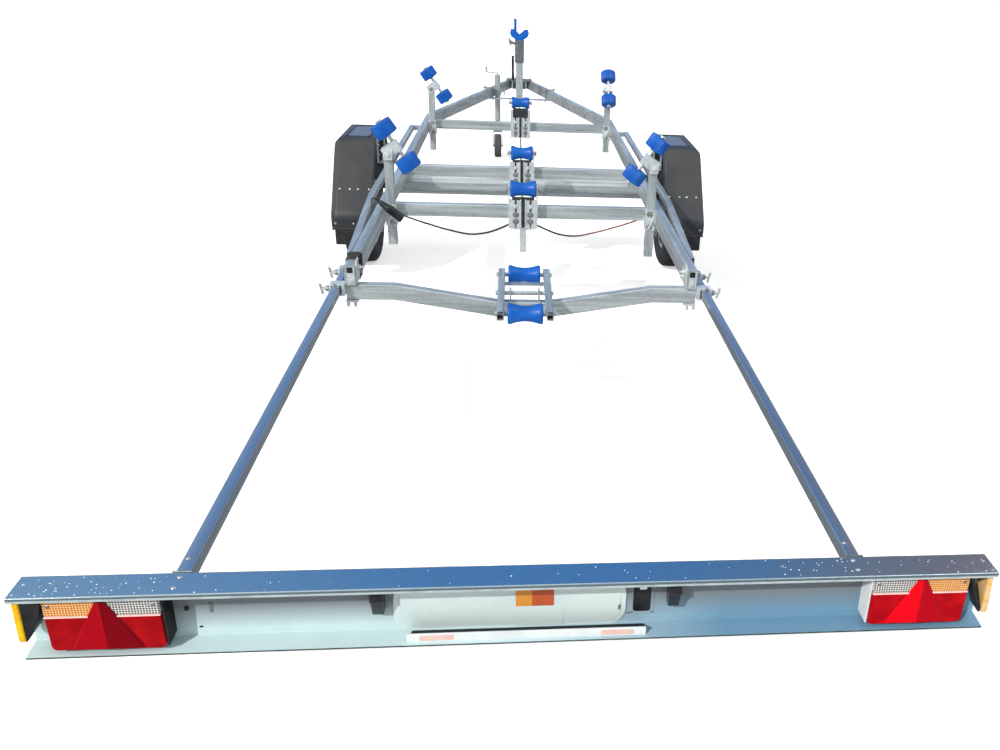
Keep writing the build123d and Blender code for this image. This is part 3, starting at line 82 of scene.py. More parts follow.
# ------------------------------------------------------------------ outlines
def basis(axis) -> np.ndarray:
    """Right-handed axes, as the columns of a 3 x 3 array, whose third one is the given direction."""
    w = np.asarray(axis, float) / np.linalg.norm(axis)
    helper = np.array([0.0, 0.0, 1.0]) if abs(w[2]) < 0.9 else np.array([0.0, 1.0, 0.0])
    u = np.cross(helper, w)
    u /= np.linalg.norm(u)
    return np.stack([u, np.cross(w, u), w], axis=1)


def circle(angle: np.ndarray, radius=1.0) -> np.ndarray:
    """Points at the given angles: radius times cosine and sine."""
    return np.stack([radius * np.cos(angle), radius * np.sin(angle)], axis=1)


def polygon(sides: int, radius: float) -> np.ndarray:
    """Corners of a regular polygon, at equal steps of angle."""
    return circle(np.arange(sides) * 2 * pi / sides, radius)


def rounded(width: float, height: float, radius: float, steps: int = 4) -> np.ndarray:
    """Rectangle with round corners: four quarter circles, each moved into its corner.

    Args:
        width: size along the first coordinate.
        height: size along the second coordinate.
        radius: radius of the corners.
        steps: points in each corner, less one.

    Returns:
        The outline's points, counter-clockwise.
    """
    arc = circle(np.linspace(0, pi / 2, steps + 1), radius)
    centre = np.array([width / 2 - radius, height / 2 - radius])
    quarters = ([[1, 0], [0, 1]], [[0, -1], [1, 0]], [[-1, 0], [0, -1]], [[0, 1], [-1, 0]])
    signs = ((1, 1), (-1, 1), (-1, -1), (1, -1))
    return np.concatenate([arc @ np.transpose(q) + centre * s for q, s in zip(quarters, signs)])


def arc3(a, b, c, steps: int) -> np.ndarray:
    """Points of the circle through three points, from the first to the last.

    Args:
        a: first point.
        b: a point between them.
        c: last point.
        steps: runs along the arc.

    Returns:
        Array of steps + 1 points.
    """
    a, b, c = (np.asarray(p, float) for p in (a, b, c))
    centre = np.linalg.solve(2 * np.array([b - a, c - a]), np.array([b @ b - a @ a, c @ c - a @ a]))
    first, mid, last = (np.arctan2(*(p - centre)[::-1]) for p in (a, b, c))
    mid, last = (mid - first) % (2 * pi), (last - first) % (2 * pi)
    sweep = last if mid < last else last - 2 * pi
    return centre + circle(first + np.linspace(0, sweep, steps + 1), np.linalg.norm(a - centre))


def filleted(points, radii, steps: int = 6) -> np.ndarray:
    """Polyline whose inner corners are quadratic curves that start and end a radius away.

    Args:
        points: corners of the line.
        radii: distance cut back at each inner corner.
        steps: runs along each curve.

    Returns:
        The points of the rounded line.
    """
    p = np.asarray(points, float)
    made = [p[:1]]
    t = np.linspace(0, 1, steps + 1)[:, None]
    for k, r in enumerate(radii, start=1):
        back, ahead = p[k - 1] - p[k], p[k + 1] - p[k]
        start = p[k] + back / np.linalg.norm(back) * r
        end = p[k] + ahead / np.linalg.norm(ahead) * r
        made.append((1 - t) ** 2 * start + 2 * t * (1 - t) * p[k] + t ** 2 * end)
    return np.concatenate([*made, p[-1:]])


def steps_along(line: np.ndarray) -> np.ndarray:
    """Unit directions of a line at its points."""
    step = np.gradient(line, axis=0)
    return step / np.linalg.norm(step, axis=1, keepdims=True)


def thickened(line: np.ndarray, thickness: float) -> np.ndarray:
    """Closed outline of a strip: the line, and the line moved square to itself by the thickness."""
    side = steps_along(line)[:, ::-1] * (1, -1)
    return np.concatenate([line, (line + side * thickness)[::-1]])


# ------------------------------------------------------------------ mesh building
@dataclass
class Shape:
    """Vertices and faces gathered from simple solids.

    Args:
        name: the object's name.
        points: arrays of vertices.
        faces: lists of vertex numbers, one for each face.
        count: number of vertices so far.
    """
    name: str
    points: list[np.ndarray] = field(default_factory=list)
    faces: list[list[int]] = field(default_factory=list)
    count: int = 0

    def add(self, points, faces) -> "Shape":
        """Take in vertices and the faces between them."""
        self.faces += [[i + self.count for i in face] for face in faces]
        self.points.append(np.asarray(points, float))
        self.count += len(points)
        return self

    def merge(self, other: "Shape") -> "Shape":
        """Take in another shape."""
        return self.add(np.concatenate(other.points), other.faces)

    def loft(self, rings, caps: bool = True) -> "Shape":
        """Skin over closed rings of equal length.

        Args:
            rings: array of shape (rings, points, 3).
            caps: whether the two ends are filled.
        """
        rings = np.asarray(rings, float)
        index = np.arange(rings.shape[0] * rings.shape[1]).reshape(rings.shape[:2]) + self.count
        across = np.roll(index, -1, axis=1)
        quads = np.stack([index[:-1], across[:-1], across[1:], index[1:]], axis=-1)
        self.faces += quads.reshape(-1, 4).tolist()
        if caps:
            self.faces += [index[0, ::-1].tolist(), index[-1].tolist()]
        self.points.append(rings.reshape(-1, 3))
        self.count += index.size
        return self

    def drawn(self, outline, axis: int, low: float, high: float) -> "Shape":
        """Flat outline set up in two planes square to an axis, and skinned between them."""
        return self.loft([np.insert(np.asarray(outline, float), axis, v, axis=1) for v in (low, high)])

    def bar(self, start, end, outline: np.ndarray, bevel: float = 0.0, axes=None) -> "Shape":
        """Prism from start to end with a chamfer at both ends.

        Args:
            start: centre of the first end.
            end: centre of the last end.
            outline: points of the section, in the two directions square to the run.
            bevel: depth and width of the chamfer.
            axes: 3 x 3 array of the section's directions and the run, or None.
        """
        start, end = np.asarray(start, float), np.asarray(end, float)
        m = basis(end - start) if axes is None else np.asarray(axes, float)
        length = np.linalg.norm(end - start)
        inner = outline * (1 - bevel / np.abs(outline).max(axis=0))
        along = [0.0, bevel, length - bevel, length] if bevel else [0.0, length]
        rows = [inner, outline, outline, inner] if bevel else [outline, outline]
        return self.loft([start + ring @ m[:, :2].T + d * m[:, 2] for ring, d in zip(rows, along)])

    def box(self, low, high, bevel: float = 0.0, corner: float = 0.0) -> "Shape":
        """Upright box between two corners, with bevelled ends and round upright corners."""
        low, high = np.minimum(low, high), np.maximum(low, high)
        mid, size = (low + high) / 2, high - low
        square = np.array([[1, 1], [-1, 1], [-1, -1], [1, -1]]) * size[:2] / 2
        outline = rounded(*size[:2], corner, 3) if corner else square
        return self.bar((*mid[:2], low[2]), (*mid[:2], high[2]), outline, bevel, np.eye(3))

    def slab(self, low, high, corner: float = 0.0, bevel: float = 0.0) -> "Shape":
        """Plate facing along Y between two corners, with round corners as seen from behind."""
        low, high = np.minimum(low, high), np.maximum(low, high)
        (x, _, z), (wide, _, tall) = (low + high) / 2, high - low
        outline = rounded(wide, tall, max(min(corner, wide * 0.49, tall * 0.49), 1e-5), 5)
        return self.bar((x, high[1], z), (x, low[1], z), outline, bevel, [OUT, DOWN, (0, 1, 0)])

    def rod(self, start, end, radius: float, sides: int = 20, bevel: float = 0.0) -> "Shape":
        """Round bar between two points."""
        return self.bar(start, end, polygon(sides, radius), bevel)

    def lathe(self, origin, axis, profile, sides: int = 48, caps: bool = False) -> "Shape":
        """Surface of revolution: each profile point (distance along, radius) goes round the axis."""
        m, ring = basis(axis), polygon(sides, 1.0)
        return self.loft([np.asarray(origin) + r * ring @ m[:, :2].T + d * m[:, 2] for d, r in profile], caps)

    def bolt(self, place, axis, across: float = 0.013, washer: float = 1.9) -> "Shape":
        """Hexagon head with a chamfered top, on a washer.

        Args:
            place: middle of its seat.
            axis: the way its head points.
            across: width across the flats.
            washer: washer's radius in radii of the head, or 0 for none.
        """
        p, w = np.asarray(place, float), np.asarray(axis, float) / np.linalg.norm(axis)
        r, thick = across * 0.577, 0.0018
        if washer:
            self.rod(p, p + w * thick, r * washer, 20, 0.0004)
        top = p + w * (thick + across * 0.5)
        return self.bar(p + w * (thick - 0.0001), top, polygon(6, r), across * 0.08)

    def bolts(self, rows) -> "Shape":
        """Bolts on both sides, from rows of X, Y, Z, direction, width and, if not the usual one, washer."""
        for s in SIDES.values():
            for x, y, z, (along, *rest), *size in rows:
                self.bolt((s * x, y, z), (s * along, *rest), *size)
        return self

    def dome(self, place, axis, radius: float, height: float) -> "Shape":
        """Round head: a flattened half sphere, radius times cosine and height times sine of the angle."""
        a = np.linspace(0, pi / 2, 6)
        profile = np.stack([height * np.sin(a), np.maximum(radius * np.cos(a), radius * 0.02)], axis=1)
        return self.lathe(place, axis, profile, 20, caps=True)

    def tube(self, path: np.ndarray, radius: float, sides: int) -> "Shape":
        """Round tube along a path; each ring is square to the mean of the runs beside it."""
        step = steps_along(path)
        up = np.array([0.0, 0.0, 1.0]) if np.abs(step[:, 2]).mean() < 0.8 else np.array([0.0, 1.0, 0.0])
        u = np.cross(up, step)
        u /= np.linalg.norm(u, axis=1, keepdims=True)
        v, ring = np.cross(step, u), polygon(sides, radius)
        return self.loft(path[:, None] + ring[None, :, :1] * u[:, None] + ring[None, :, 1:] * v[:, None])

    def sheared(self, axis: int, foot: float, slope: float) -> "Shape":
        """Each point moves along an axis by the slope times its height above the foot."""
        for points in self.points:
            points[:, axis] += (points[:, 2] - foot) * slope
        return self

    def mirrored(self) -> "Shape":
        """The same piece on the other side, with its faces turned round."""
        points = [p * (-1.0, 1.0, 1.0) for p in self.points]
        return Shape(self.name, points, [f[::-1] for f in self.faces], self.count)

    def doubled(self) -> "Shape":
        """The piece on both sides."""
        return Shape(self.name).merge(self.mirrored()).merge(self)

    def named(self, word: str) -> "Shape":
        """The piece with a word added to its name."""
        self.name = f"{self.name}_{word}"
        return self

    def place(self, finish: bpy.types.Material, slot: Slot, body: str = Body.FRAME, replaces=(),
              angle: float = 35.0) -> bpy.types.Object:
        """Make the object, shade it, and hang it on its body.

        Args:
            finish: its material.
            slot: its material slot; not used.
            body: the CAD body that it rides on.
            replaces: CAD nodes that it stands for.
            angle: edges sharper than this many degrees stay sharp.

        Returns:
            The new object.
        """
        mesh = bpy.data.meshes.new(self.name)
        mesh.from_pydata(np.concatenate(self.points).tolist(), [], self.faces)
        mesh.validate()
        work = bmesh.new()
        work.from_mesh(mesh)
        bmesh.ops.recalc_face_normals(work, faces=work.faces)
        work.to_mesh(mesh)
        work.free()
        mesh.polygons.foreach_set("use_smooth", np.ones(len(mesh.polygons), bool))
        mesh.set_sharp_from_angle(angle=radians(angle))
        mesh.materials.append(finish)
        piece = linked(self.name, mesh)
        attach(piece, body.value if isinstance(body, Body) else body)
        if replaces:
            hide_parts(*replaces)
        LOG.info("%-24s %6d faces", self.name, len(self.faces))
        return piece


def linked(name: str, data) -> bpy.types.Object:
    """New object of the given data in the scene."""
    made = bpy.data.objects.new(name, data)
    bpy.context.scene.collection.objects.link(made)
    return made


# ------------------------------------------------------------------ shader nodes
def feed(tree: bpy.types.NodeTree, socket: bpy.types.NodeSocket, value) -> None:
    """Link a socket to the one that is given, or set its own value."""
    if isinstance(value, bpy.types.NodeSocket):
        tree.links.new(value, socket)
    else:
        socket.default_value = value


def node(tree: bpy.types.NodeTree, kind: str, inputs=(), out=0, **settings) -> bpy.types.NodeSocket:
    """Add a shader node.

    Args:
        tree: tree that it goes into.
        kind: its type, without the word ShaderNode.
        inputs: what feeds its inputs, by their names or numbers: a socket or a value.
        out: name or number of the output that is wanted.
        settings: its own properties.

    Returns:
        The wanted output.
    """
    made = tree.nodes.new(f"ShaderNode{kind}")
    for word, value in settings.items():
        setattr(made, word, value)
    for key, value in dict(inputs).items():
        feed(tree, made.inputs[key], value)
    return made.outputs[out]


def along_axis(tree: bpy.types.NodeTree, axis: str) -> bpy.types.NodeSocket:
    """Place of the shaded point along an axis of the object."""
    return node(tree, "SeparateXYZ", {"Vector": node(tree, "TexCoord", out="Object")}, axis)


def ranged(tree, value, low: float, high: float, **settings) -> bpy.types.NodeSocket:
    """Share of the way from a low value to a high one."""
    return node(tree, "MapRange", {"Value": value, "From Min": low, "From Max": high}, "Result", **settings)


def mixed(tree, share, first, second) -> bpy.types.NodeSocket:
    """Colour part of the way from one to another."""
    return node(tree, "Mix", {"Factor": share, "A": first, "B": second}, "Result", data_type="RGBA")


def rgba(code: str) -> tuple[float, ...]:
    """Linear colour of a written sRGB colour: the standard curve with the exponent 2.4."""
    values = np.array([int(code[i:i + 2], 16) / 255 for i in (0, 2, 4)])
    linear = np.where(values <= 0.04045, values / 12.92, ((values + 0.055) / 1.055) ** 2.4)
    return (*(float(v) for v in linear), 1.0)


def blank(name: str, **values) -> tuple[bpy.types.Material, bpy.types.NodeTree, bpy.types.Node]:
    """Plain material, its node tree and its shader, with these values on the shader's own sockets."""
    material = bpy.data.materials.new(name)
    material.use_nodes = True
    shader = material.node_tree.nodes["Principled BSDF"]
    for word, value in values.items():
        shader.inputs[word.replace("_", " ").replace("Ior", "IOR")].default_value = value
    return material, material.node_tree, shader


# ------------------------------------------------------------------ finishes
@dataclass(frozen=True)
class Metal:
    """Zinc or steel finish.

    Args:
        name: material name.
        pale: written colour of the bright grains.
        dark: written colour of the dull grains.
        rough: least and greatest roughness.
        metallic: how metallic the surface is.
        grain: grains in a metre.
        relief: height of the surface grain.
        stretch: scale of the streaks along X, Y and Z; a small one draws them out.
    """
    name: str
    pale: str
    dark: str
    rough: tuple[float, float]
    metallic: float
    grain: float
    relief: float
    stretch: tuple[float, float, float] = (1.0, 1.0, 1.0)

    def pattern(self) -> dict:
        """Values for the group's inputs."""
        return {"Grain": self.grain, "Pale": rgba(self.pale), "Dark": rgba(self.dark),
                "Smooth": self.rough[0], "Rough": self.rough[1], "Stretch": self.stretch}

    def surface(self) -> dict:
        """Values for the shader's own inputs."""
        return {"Metallic": self.metallic}


@dataclass(frozen=True)
class Moulding:
    """Plastic, rubber or paint finish.

    Args:
        name: material name.
        colour: written base colour.
        worn: written colour of the worn or dusty patches.
        rough: least and greatest roughness.
        grain: size of the patches, as a noise scale.
        relief: height of the surface grain.
        coat: weight of the clear coat.
        shine: specular level.
    """
    name: str
    colour: str
    worn: str
    rough: tuple[float, float]
    grain: float
    relief: float
    coat: float = 0.0
    shine: float = 0.5

    def pattern(self) -> dict:
        """Values for the group's inputs."""
        return {"Scale": self.grain, "Base": rgba(self.colour), "Worn": rgba(self.worn),
                "Smooth": self.rough[0], "Rough": self.rough[1]}

    def surface(self) -> dict:
        """Values for the shader's own inputs."""
        return {"Coat_Weight": self.coat, "Coat_Roughness": 0.08, "Specular_Ior_Level": self.shine}


@dataclass(frozen=True)
class Glass:
    """Lamp lens, plain or with a square grid pressed into it.

    Args:
        name: material name.
        colour: written colour of the lens, or of the grid's cells.
        pitch: spacing of the grid, or 0 for none.
        line: written colour of the grid's lines.
        coat: weight of the clear coat.
    """
    name: str
    colour: str
    pitch: float = 0.0
    line: str = "ffffff"
    coat: float = 0.0


@dataclass(frozen=True)
class Turn:
    """Change of a finish's colour along an axis.

    Args:
        name: the finish.
        colour: written colour that it turns to.
        low: place where the change starts.
        high: place where it ends.
        axis: name of the axis.
    """
    name: str
    colour: str
    low: float
    high: float
    axis: str


METALS = (
    Metal("zinc_frame", "dce3e4", "929a9c", (0.28, 0.46), 0.55, 170.0, 0.0001, (1.0, 1.0, 0.1)),
    Metal("zinc_along", "d8e0e3", "8b9498", (0.24, 0.42), 0.62, 170.0, 0.0001, (1.0, 0.05, 1.0)),
    Metal("zinc_across", "dfe6e7", "8f989a", (0.26, 0.44), 0.52, 170.0, 0.0001, (0.05, 1.0, 1.0)),
    Metal("zinc_sheet", "c6d6da", "b8c8cd", (0.10, 0.20), 0.96, 120.0, 0.00005),
    Metal("zinc_arm", "c4cdd6", "a2adb8", (0.18, 0.30), 0.92, 170.0, 0.0001, (1.0, 0.05, 1.0)),
    Metal("bright_plate", "cfd0cc", "a3a5a3", (0.22, 0.36), 0.9, 500.0, 0.0002),
    Metal("zinc_bright", "eef3f3", "bcc4c5", (0.25, 0.4), 0.45, 300.0, 0.0001),
    Metal("cast_head", "8f9498", "5d6266", (0.35, 0.55), 0.7, 300.0, 0.0008),
    Metal("rim_silver", "c2c5c7", "aeb1b3", (0.30, 0.42), 0.55, 400.0, 0.0001),
)
MOULDINGS = (
    # the board's web: a pale matt finish, onto which TURNS paints a sky reflection and the upper flange's
    # shadow
    Moulding("zinc_web", "c8dee1", "c2d9db", (0.34, 0.42), 10.0, 0.0, 0.0, 0.4),
    Moulding("tyre_rubber", "1c1c1d", "2c2b2a", (0.62, 0.85), 14.0, 0.0002),
    Moulding("guard_plastic", "292b2d", "343638", (0.40, 0.52), 6.0, 0.00015, 0.03),
    Moulding("roller_blue", "0352ac", "0763c0", (0.36, 0.48), 22.0, 0.0001, 0.0, 0.3),
    Moulding("moulded_black", "1a1b1d", "28292b", (0.35, 0.5), 30.0, 0.0001, 0.1),
    Moulding("cable_black", "141516", "222324", (0.45, 0.6), 30.0, 0.0),
    Moulding("grey_rubber", "3a3b3d", "4a4b4c", (0.6, 0.8), 20.0, 0.0001),
    Moulding("plate_white", "d2e2e0", "c4d6d4", (0.22, 0.34), 8.0, 0.0, 0.15),
    Moulding("strip_white", "dfe6e6", "cfd6d6", (0.3, 0.4), 12.0, 0.0, 0.1),
    Moulding("label_orange", "dd9630", "d48a2c", (0.3, 0.4), 3.0, 0.0, 0.2),
    Moulding("label_rust", "c4572a", "b94f26", (0.3, 0.4), 3.0, 0.0, 0.2),
    Moulding("slate_plastic", "1e262b", "2a3338", (0.6, 0.7), 20.0, 0.0, 0.0, 0.05),
    Moulding("faded_salmon", "e3b7ac", "dccbc6", (0.3, 0.4), 30.0, 0.0, 0.2),
    Moulding("lens_red_deep", "92040e", "b20a10", (0.12, 0.2), 26.0, 0.0, 0.0, 0.15),
    Moulding("lens_red_bright", "a00010", "c00614", (0.12, 0.2), 26.0, 0.0, 0.0, 0.15),
    Moulding("guard_recess", "1f2733", "27303d", (0.16, 0.26), 8.0, 0.0, 0.1),
    Moulding("marker_yellow", "f7c40e", "f09508", (0.2, 0.3), 40.0, 0.0, 0.0, 0.3),
    Moulding("marker_pale", "e6c48a", "d99a34", (0.2, 0.3), 40.0, 0.0, 0.0, 0.3),
    Moulding("slot_shade", "2c3133", "3c4244", (0.5, 0.6), 40.0, 0.0, 0.0, 0.2),
    Moulding("edge_shade", "35423d", "55605c", (0.5, 0.6), 40.0, 0.0, 0.0, 0.2),
    # painted highlight along the upper flange's turned-down edge
    Moulding("edge_pale", "b2bdc0", "96a2a6", (0.4, 0.5), 30.0, 0.0, 0.0, 0.3),
    Moulding("pale_patch", "f4f7f8", "e6ecee", (0.4, 0.5), 20.0, 0.0, 0.0, 0.3),
    Moulding("brake_cable", "1a1b1c", "2a2624", (0.4, 0.5), 30.0, 0.0),
    Moulding("flap_rubber", "232426", "2d2e30", (0.5, 0.7), 20.0, 0.0002),
)
GRID = 0.0055  # pitch of the squares in the ribbed lenses
# each reflector's two halves: a lit red and a shaded red, painted light and shade of its facets
GLASS = (
    Glass("reflex_left_west", "a00012"), Glass("reflex_left_east", "780010"),
    Glass("reflex_right_west", "de0016"), Glass("reflex_right_east", "ae0016"),
    Glass("lens_step", "f3d3cc"), Glass("lens_amber", "c27418", GRID, "f6c890"),
    Glass("lens_clear", "585856", GRID, "e8e8e4"), Glass("lens_window", "dfe3e4", coat=0.5),
)
# the web's two turns are painted light: bluer to the right is a painted reflection of the sky, darker at the
# top is the upper flange's painted shadow
TURNS = (Turn("zinc_web", "7099b4", -0.05, 0.42, "X"), Turn("zinc_web", "767e84", 0.388, 0.446, "Z"),
         Turn("brake_cable", "a06050", 0.16, 0.40, "X"))


class Palette:
    """All materials, made once from the frozen descriptions."""

    def __init__(self) -> None:
        groups = {Metal: self.zinc_group(), Moulding: self.patch_group()}
        self.made = {f.name: self.grained(f, groups[type(f)]) for f in METALS + MOULDINGS}
        self.made |= {f.name: self.lens(f) for f in GLASS}
        for turn in TURNS:
            self.turn(turn)

    def __getitem__(self, name: str) -> bpy.types.Material:
        return self.made[name]

    @staticmethod
    def group(name: str, words) -> tuple[bpy.types.NodeTree, bpy.types.NodeOutputs]:
        """Empty group that gives a colour, a roughness and a height.

        Args:
            name: name of the group.
            words: names and kinds of its inputs.

        Returns:
            The group and its inputs' sockets.
        """
        tree = bpy.data.node_groups.new(name, "ShaderNodeTree")
        given = {"Color": "Color", "Roughness": "Float", "Height": "Float"}
        for way, sockets in (("INPUT", words), ("OUTPUT", given)):
            for word, kind in sockets.items():
                tree.interface.new_socket(word, in_out=way, socket_type=f"NodeSocket{kind}")
        return tree, tree.nodes.new("NodeGroupInput").outputs

    @staticmethod
    def close(tree: bpy.types.NodeTree, share, colours, roughs, height) -> bpy.types.NodeTree:
        """Feed a group's outputs: colour and roughness go with the share from a first value to a second."""
        last = tree.nodes.new("NodeGroupOutput")
        feed(tree, last.inputs["Color"], mixed(tree, share, *colours))
        rough = {"Value": share, "To Min": roughs[0], "To Max": roughs[1]}
        feed(tree, last.inputs["Roughness"], node(tree, "MapRange", rough, "Result"))
        feed(tree, last.inputs["Height"], height)
        return tree

    def zinc_group(self) -> bpy.types.NodeTree:
        """Crystal grains of hot-dip zinc over drawn-out streaks, and a height for their relief."""
        t, given = self.group("ZincGrain", {"Grain": "Float", "Pale": "Color", "Dark": "Color",
                                            "Smooth": "Float", "Rough": "Float", "Stretch": "Vector"})
        where = node(t, "TexCoord", out="Object")
        drawn = node(t, "VectorMath", {0: where, 1: given["Stretch"]}, "Vector", operation="MULTIPLY")
        cells = node(t, "TexVoronoi", {"Vector": where, "Scale": given["Grain"], "Randomness": 1.0}, "Color")
        streaks = {"Vector": drawn, "Scale": 38.0, "Detail": 6.0, "Roughness": 0.65}
        cloud = node(t, "TexNoise", streaks, "Fac")
        grain = node(t, "SeparateColor", {"Color": cells}, "Red")
        blend = node(t, "Mix", {"Factor": 0.82, "A": grain, "B": ranged(t, cloud, 0.33, 0.68)}, "Result")
        return self.close(t, blend, (given["Dark"], given["Pale"]), (given["Rough"], given["Smooth"]), cloud)

    def patch_group(self) -> bpy.types.NodeTree:
        """Worn patches of a moulding and a fine height for its grain."""
        t, given = self.group("WornPatches", {"Scale": "Float", "Base": "Color", "Worn": "Color",
                                              "Smooth": "Float", "Rough": "Float"})
        where = node(t, "TexCoord", out="Object")
        patch = node(t, "TexNoise", {"Vector": where, "Scale": given["Scale"], "Detail": 5.0}, "Fac")
        fine = node(t, "TexNoise", {"Vector": where, "Scale": 900.0}, "Fac")
        return self.close(t, ranged(t, patch, 0.42, 0.72), (given["Base"], given["Worn"]),
                          (given["Smooth"], given["Rough"]), fine)

    @staticmethod
    def grained(f: Metal | Moulding, group: bpy.types.NodeTree) -> bpy.types.Material:
        """Material whose colour, roughness and relief come from a shared group."""
        material, tree, shader = blank(f.name, **f.surface())
        source = tree.nodes.new("ShaderNodeGroup")
        source.node_tree = group
        for word, value in f.pattern().items():
            source.inputs[word].default_value = value
        feed(tree, shader.inputs["Base Color"], source.outputs["Color"])
        feed(tree, shader.inputs["Roughness"], source.outputs["Roughness"])
        if f.relief:
            bump = {"Strength": 0.6, "Distance": f.relief, "Height": source.outputs["Height"]}
            feed(tree, shader.inputs["Normal"], node(tree, "Bump", bump, "Normal"))
        return material

    @staticmethod
    def lens(f: Glass) -> bpy.types.Material:
        """Lens whose grid is the lesser of two crossed triangle waves."""
        material, tree, shader = blank(f.name, Base_Color=rgba(f.colour), Roughness=0.14, Coat_Weight=f.coat,
                                       Coat_Roughness=0.03, Specular_Ior_Level=0.15)
        if f.pitch:
            waves = [node(tree, "Math", {0: along_axis(tree, axis), 1: f.pitch / 2}, operation="PINGPONG")
                     for axis in "XZ"]
            height = node(tree, "Math", {0: waves[0], 1: waves[1]}, operation="MINIMUM")
            bump = node(tree, "Bump", {"Strength": 0.5, "Distance": 0.9, "Height": height}, "Normal")
            tone = ranged(tree, height, f.pitch * 0.05, f.pitch * 0.19)
            feed(tree, shader.inputs["Normal"], bump)
            feed(tree, shader.inputs["Base Color"], mixed(tree, tone, rgba(f.line), rgba(f.colour)))
        return material

    def turn(self, turn: Turn) -> None:
        """Let a material's colour change along an axis."""
        tree = self.made[turn.name].node_tree
        colour = tree.nodes["Principled BSDF"].inputs["Base Color"]
        share = ranged(tree, along_axis(tree, turn.axis), turn.low, turn.high)
        feed(tree, colour, mixed(tree, share, colour.links[0].from_socket, rgba(turn.colour)))


# ------------------------------------------------------------------ light board
@dataclass
class Board:
    """Folded sheet channel that carries the lamps.

    Args:
        width: overall width.
        depth: from the rear lip to the web's front face at the top.
        fold: station of the lower fold.
        lip: station of the lower flange's edge.
        top: height of its upper face.
        low: height of the lower fold.
        sheet: thickness.
        hem: how far the upper flange's rear edge is turned down.
        bend: distance cut back at a fold.
        arm_x: centre of an arm.
        arm_top: top of an arm.
        arm_end: station of an arm's front end.
        arm: width and height of an arm.
        droop: how far the lower flange's edge lies below the fold.
    """
    width: float = 2.0
    depth: float = 0.074
    fold: float = 0.067
    lip: float = 0.014
    top: float = 0.525
    low: float = 0.371
    sheet: float = 0.003
    hem: float = 0.011
    bend: float = 0.005
    arm_x: float = 0.7015
    arm_top: float = 0.522
    arm_end: float = 2.088
    arm: tuple[float, float] = (0.029, 0.0348)
    droop: float = 0.004

    @property
    def slope(self) -> float:
        """How far the web moves forward for each unit of height."""
        return (self.depth - self.fold) / (self.top - self.low)

    @property
    def foot(self) -> float:
        """Y of the web's rear face at its foot."""
        return self.web(self.low)

    def web(self, z: float) -> float:
        """Y of the web's rear face at a height."""
        return at(self.fold - self.sheet) + (z - self.low) * self.slope

    def on_web(self, shape: Shape) -> Shape:
        """Lean a piece that was drawn upright at the web's foot."""
        return shape.sheared(1, self.low, self.slope)

    def folded(self, name: str, line, radii) -> Shape:
        """A fold line, given as stations and heights, thickened inwards and drawn out along the width."""
        line = filleted([(at(station), z) for station, z in line], radii)
        return Shape(name).drawn(thickened(line, self.sheet), 0, -self.width / 2, self.width / 2)

    def flange(self) -> Shape:
        """Upper flange with its rear edge turned down."""
        line = ((0.0, self.top - self.hem), (0.0, self.top), (self.depth - self.bend, self.top))
        return self.folded("board_flange", line, [self.bend * 0.6])

    def channel(self) -> Shape:
        """Web and lower flange."""
        line = ((self.depth - self.bend, self.top), (self.depth, self.top), (self.fold, self.low),
                (self.lip, self.low - self.droop))
        return self.folded("board_channel", line, [self.bend * 0.96, self.bend])

    def edge(self, name: str, station: float, z: float, height: float) -> Shape:
        """Cut edge of a flange, from its lower corner's station and height."""
        half = self.width / 2 - 0.0005
        low, high = (-half, at(station - 0.0007), z), (half, at(station + 0.0005), z + height)
        return Shape(name).slab(low, high, 0.0004)

    def edges(self) -> list[Shape]:
        """Cut edges of the lower and of the upper flange; the upper one's pale colour is a painted highlight.
        """
        return [self.edge("board_edge_low", self.lip, self.low - self.droop - 0.0004, 0.0034),
                self.edge("board_edge_top", 0.0, self.top - self.hem - 0.0002, 0.0044)]

    def screws(self) -> Shape:
        """Screws through the flange and the arms, and bright fittings of the web."""
        made = Shape("board_screws")
        for x, station in FLANGE_SCREWS:
            made.dome((x, at(station), self.top), UP, 0.0052, 0.0026)
        for x, station in ARM_SCREWS:
            made.dome((x, at(station), self.arm_top), UP, 0.0050, 0.0025)
        for s in SIDES.values():
            x, half = s * self.arm_x, ARM_PLATE / 2
            made.box((x - half, at(self.depth), self.arm_top - 0.003),
                     (x + half, at(self.depth + 0.004), self.top + 0.0005), 0.0004)
            for x, station in END_SCREWS:
                made.dome((s * x, at(station), self.top), UP, 0.0030, 0.0020)
        for (x, z), height, deep in WEB_TABS:
            low, high = (x, self.web(z) - deep, z - height / 2), (x + 0.005, self.web(z), z + height / 2)
            made.slab(low, high, 0.002, 0.0006)
        return made

    def slots(self) -> Shape:
        """Dark fittings: the lead's passage beside the holder, and a bolt and a slot by the left lamp."""
        made = Shape("web_slots")
        for x0, x1, z0, z1, corner in WEB_SLOTS:
            made.slab((x0, self.foot - 0.0008, z0), (x1, self.foot, z1), corner)
        x, z = WEB_BOLT
        return self.on_web(made.rod((x, self.foot, z), (x, self.foot - 0.004, z), 0.0055, 8, 0.001))

    def arms(self) -> Shape:
        """Square bars that carry the board, from the web to the sleeves."""
        made, z = Shape("board_arms"), self.arm_top - self.arm[1] / 2 - 0.0001
        for s in SIDES.values():
            start, end = (s * self.arm_x, at(self.depth + 0.0002), z), (s * self.arm_x, at(self.arm_end), z)
            made.bar(start, end, rounded(*self.arm, 0.0035, 3), 0.0012)
        return made

    def drops(self) -> Shape:
        """Small beads of zinc scattered over the flange, thickest near its ends."""
        made, seed = Shape("board_drops"), np.random.default_rng(11)
        x = np.concatenate([seed.uniform(*span) for span in DROPS])
        station = seed.uniform(0.006, self.depth - 0.008, len(x))
        for a, b, r in zip(x, station, seed.uniform(0.0008, 0.0018, len(x))):
            made.dome((a, at(b), self.top - 0.0001), UP, r, r * 0.5)
        return made

